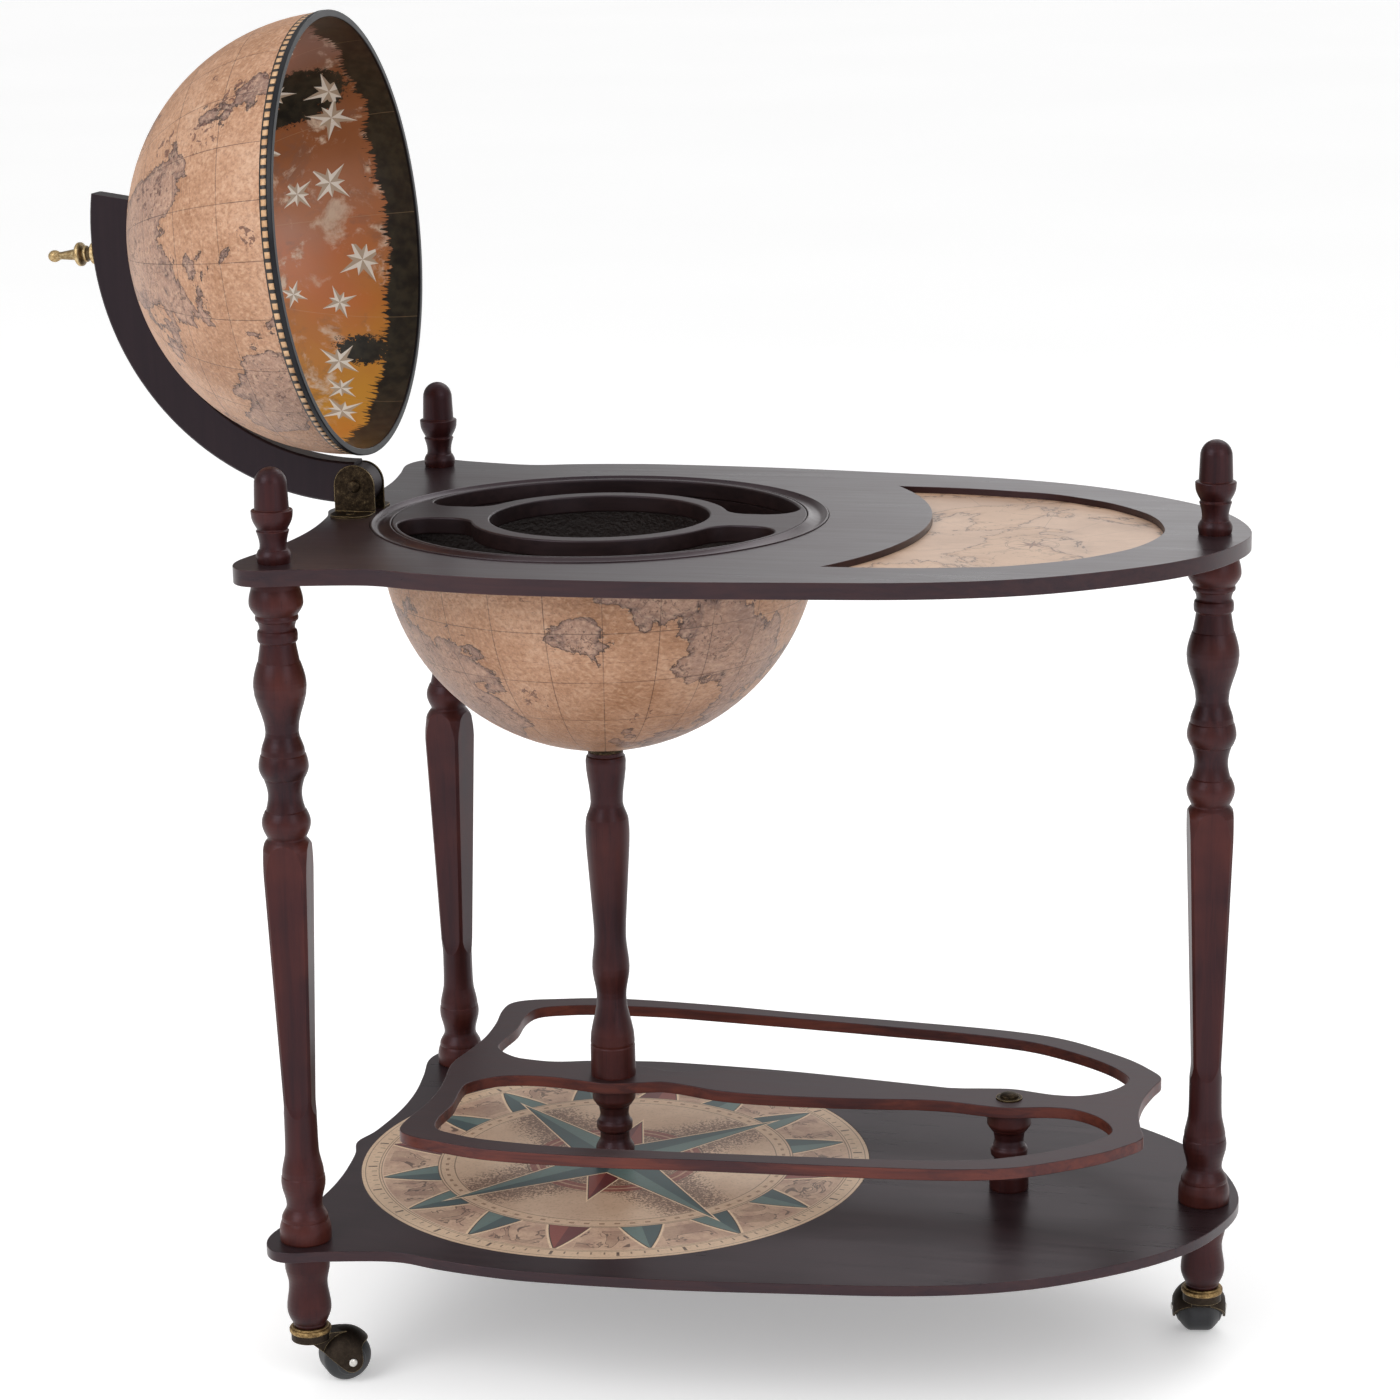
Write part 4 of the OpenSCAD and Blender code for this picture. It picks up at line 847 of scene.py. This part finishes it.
# ---------------------------------------------------------------- scale tape round the lid
def patch(name, low, high, radius, first, last, steps, material):
    """A patch of a sphere between two heights and two angles. Ends that meet are joined."""
    rows = []
    for z in (low, (low + high) / 2, high):
        ring = math.sqrt(radius ** 2 - z * z)
        angles = [first + (last - first) * i / steps for i in range(steps + 1)]
        rows.append([(ring * math.cos(a), ring * math.sin(a), z) for a in angles])
    n = steps + 1
    faces = [(r * n + i, r * n + i + 1, (r + 1) * n + i + 1, (r + 1) * n + i)
             for r in range(len(rows) - 1) for i in range(steps)]
    mesh = bpy.data.meshes.new(name)
    mesh.from_pydata([p for row in rows for p in row], [], faces)
    work = bmesh.new()
    work.from_mesh(mesh)
    bmesh.ops.remove_doubles(work, verts=work.verts, dist=1e-7)
    work.to_mesh(mesh)
    work.free()
    mesh.materials.append(material)
    return mesh


def set_round(mesh, count, material):
    """A mesh repeated count times about the Z axis, as one mesh."""
    tree = bpy.data.node_groups.new("blocks round a ring", "GeometryNodeTree")
    tree.interface.new_socket("Geometry", in_out="INPUT", socket_type="NodeSocketGeometry")
    how_many = tree.interface.new_socket("Blocks", in_out="INPUT", socket_type="NodeSocketInt")
    tree.interface.new_socket("Geometry", in_out="OUTPUT", socket_type="NodeSocketGeometry")
    start = tree.nodes.new("NodeGroupInput")
    end = tree.nodes.new("NodeGroupOutput")
    line = tree.nodes.new("GeometryNodeMeshLine")
    line.inputs["Offset"].default_value = (0, 0, 0)
    place = tree.nodes.new("GeometryNodeInstanceOnPoints")
    index = tree.nodes.new("GeometryNodeInputIndex")
    share = tree.nodes.new("ShaderNodeMath")
    share.operation = "DIVIDE"
    angle = tree.nodes.new("ShaderNodeMath")
    angle.operation = "MULTIPLY"
    angle.inputs[1].default_value = 2 * math.pi
    turn = tree.nodes.new("ShaderNodeCombineXYZ")
    real = tree.nodes.new("GeometryNodeRealizeInstances")
    paint = tree.nodes.new("GeometryNodeSetMaterial")
    paint.inputs["Material"].default_value = material
    for out, to in ((start.outputs["Blocks"], line.inputs["Count"]),
                    (line.outputs["Mesh"], place.inputs["Points"]),
                    (start.outputs["Geometry"], place.inputs["Instance"]),
                    (index.outputs[0], share.inputs[0]),
                    (start.outputs["Blocks"], share.inputs[1]),
                    (share.outputs[0], angle.inputs[0]),
                    (angle.outputs[0], turn.inputs["Z"]),
                    (turn.outputs[0], place.inputs["Rotation"]),
                    (place.outputs[0], real.inputs[0]),
                    (real.outputs[0], paint.inputs["Geometry"]),
                    (paint.outputs[0], end.inputs[0])):
        tree.links.new(out, to)

    source = add_object("tape_source", mesh)
    laid = source.modifiers.new("blocks", "NODES")
    laid.node_group = tree
    laid[how_many.identifier] = count
    evaluated = source.evaluated_get(bpy.context.evaluated_depsgraph_get())
    repeated = bpy.data.meshes.new_from_object(evaluated)
    bpy.data.objects.remove(source)
    return repeated


def scale_tape(count=140, width=5.7 * MM, near_edge=0.5 * MM, far_edge=1.1 * MM, bar=2.8 * MM):
    """Strip with cream blocks between dark bars, glued round the upper half globe.

    near_edge, far_edge: dark margins below and above the blocks. bar: the gap between two blocks.
    """
    dark = Finish("tape_dark", roughness=0.45)
    grain = dark.noise(300, detail=3)
    dark.colour(dark.between(grain.soft(0.3, 0.7), srgb(30, 27, 26), srgb(50, 44, 40)))
    dark.bump(grain, 0.05 * MM, 0.4)
    cream = Finish("tape_cream", roughness=0.45)
    tone = cream.noise(90, detail=5, rough=0.7)
    cream.colour(cream.between(tone.soft(0.3, 0.7), srgb(196, 150, 108), srgb(224, 184, 142)))
    cream.bump(cream.noise(330, detail=3), 0.1 * MM, 0.4)

    low = 1.8 * MM  # where the strip starts over the rim, up the globe
    outer = GLOBE_R + 0.12 * MM
    block_r = outer + 0.16 * MM
    arc = 2 * math.pi / count
    half_bar = bar / 2 / outer
    strip = patch("tape_strip", low, low + width, outer, 0, 2 * math.pi, 264, dark.material)
    block = patch("tape_block", low + near_edge, low + width - far_edge, block_r,
                  half_bar, arc - half_bar, 3, cream.material)
    blocks = set_round(block, count, cream.material)

    to_open = Matrix.Translation(DOME_CENTRE) @ Matrix.Rotation(-OPEN_ANGLE, 4, "Y")
    for name, mesh, thick in (("scale_tape", strip, 0.1), ("scale_blocks", blocks, 0.04)):
        mesh.transform(to_open)
        smooth(mesh)
        piece = add_object(name, mesh)
        wall = piece.modifiers.new("thickness", "SOLIDIFY")
        wall.thickness = thick * MM
        wall.offset = 1.0
        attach(piece, "lid_dome")


scale_tape()


# ---------------------------------------------------------------- studio
ROOM_LEVEL = 0.5
OVERHEAD_GLOW = 0.35
LOW_GLOW = 1.25
DIM_BEHIND = 0.44
FLOOR_HALF = 60.0
FLOOR_LIFT = 0.3  # light that the camera sees the floor give off, so that it looks white


def studio():
    """Pale floor and backdrop, soft light from all round, and three large soft lamps."""
    floor_mesh = bpy.data.meshes.new("floor")
    s = FLOOR_HALF
    floor_mesh.from_pydata([(-s, -s, 0), (s, -s, 0), (s, s, 0), (-s, s, 0)], [], [(0, 1, 2, 3)])
    floor = add_object("floor", floor_mesh)
    f = Finish("floor_paper", roughness=0.9, specular=0.1)
    f.colour(f.between(f.noise(0.6, detail=2).soft(0.3, 0.7),
                       srgb(250, 250, 250), srgb(252, 252, 252)))
    # what the camera and mirrors see of it is lifted to white; its shadows stay
    ray = f.node("ShaderNodeLightPath")
    seen = Num(f, ray.outputs["Is Camera Ray"])
    for kind in ("Is Glossy Ray", "Is Transmission Ray"):
        seen = seen.most(Num(f, ray.outputs[kind]))
    lift = f.node("ShaderNodeEmission")
    f.put(lift.inputs["Strength"], seen * FLOOR_LIFT)
    add = f.node("ShaderNodeAddShader")
    f.tree.links.new(f.shader.outputs[0], add.inputs[0])
    f.tree.links.new(lift.outputs[0], add.inputs[1])
    f.tree.links.new(add.outputs[0], f.out.inputs[0])
    floor_mesh.materials.append(f.material)

    # the room: pale, bright overhead and low behind on the right, dark higher up behind
    world = bpy.data.worlds.new("studio")
    bpy.context.scene.world = world
    world.use_nodes = True
    room = Nodes(world.node_tree, "Generated")

    def towards(azimuth, elevation):
        """A direction: azimuth 0 is away from the viewer, 90 is to the right."""
        a, e = math.radians(azimuth), math.radians(elevation)
        return (math.sin(a) * math.cos(e), math.cos(a) * math.cos(e), math.sin(e))

    def around(azimuth, elevation, outer, inner):
        """1 near a direction, 0 further from it than outer degrees."""
        return room.dot(room.place, towards(azimuth, elevation)).soft(
            math.cos(math.radians(outer)), math.cos(math.radians(inner)))

    height = room.parts(room.place)[2]

    def above(low, high):
        """0 under one elevation, 1 over another, in degrees."""
        return height.soft(math.sin(math.radians(low)), math.sin(math.radians(high)))

    low_down = 1.0 - above(14.5, 19)
    behind = around(-12, 0, 75, 45) * above(15, 19) * (1.0 - above(34, 46))
    level = (around(0, 90, 80, 20) * OVERHEAD_GLOW + around(9, 11, 28, 5) * low_down * LOW_GLOW
             - behind * DIM_BEHIND + ROOM_LEVEL)
    # the camera itself sees a white backdrop over the floor's edge
    seen = Num(room, room.node("ShaderNodeLightPath").outputs["Is Camera Ray"])
    sky = room.node("ShaderNodeBackground")
    sky.inputs["Color"].default_value = (1, 1, 1, 1)
    room.put(sky.inputs["Strength"], level + (1.0 - level) * seen)
    out = room.node("ShaderNodeOutputWorld")
    room.tree.links.new(sky.outputs[0], out.inputs[0])

    middle = Vector((0, 0, 0.5))

    def lamp(name, at, size, power):
        """A soft lamp that looks at the middle of the trolley."""
        data = bpy.data.lights.new(name, "AREA")
        data.shape = "RECTANGLE"
        data.size, data.size_y = size
        data.energy = power
        o = add_object(name, data)
        o.location = at
        o.rotation_euler = (middle - Vector(at)).to_track_quat("-Z", "Y").to_euler()

    lamp("key", (-1.9, -2.8, 2.6), (2.2, 2.4), 56)
    lamp("fill", (2.6, -2.0, 1.9), (1.8, 2.2), 24)
    lamp("back", (0.6, 2.6, 2.8), (2.8, 1.4), 26)


IMAGE_WIDTH = 1400  # pixels
FOCAL_LENGTH = 3529.6  # pixels
SENSOR_WIDTH = 36.0
CAMERA_YAW, CAMERA_PITCH, CAMERA_ROLL = -13.442, 13.819, -1.054  # degrees
CAMERA_AT = Vector((GLOBE_X + 0.6790, -2.5267, 1.1309))


def camera():
    """Stands where the photograph was taken from."""
    yaw, pitch, roll = (math.radians(a) for a in (CAMERA_YAW, CAMERA_PITCH, CAMERA_ROLL))
    data = bpy.data.cameras.new("camera")
    data.sensor_width = SENSOR_WIDTH
    data.lens = FOCAL_LENGTH / IMAGE_WIDTH * SENSOR_WIDTH
    data.clip_start, data.clip_end = 0.1, 200
    o = add_object("camera", data)
    ahead = Vector((math.sin(yaw) * math.cos(pitch), math.cos(yaw) * math.cos(pitch),
                    -math.sin(pitch)))
    right = Vector((math.cos(yaw), -math.sin(yaw), 0))
    up = right.cross(ahead)
    right_r = right * math.cos(roll) + up * math.sin(roll)
    up_r = up * math.cos(roll) - right * math.sin(roll)
    o.matrix_world = Matrix((
        (right_r.x, up_r.x, -ahead.x, CAMERA_AT.x),
        (right_r.y, up_r.y, -ahead.y, CAMERA_AT.y),
        (right_r.z, up_r.z, -ahead.z, CAMERA_AT.z),
        (0, 0, 0, 1)))
    bpy.context.scene.camera = o


studio()
camera()
bpy.context.scene.view_settings.view_transform = "Standard"
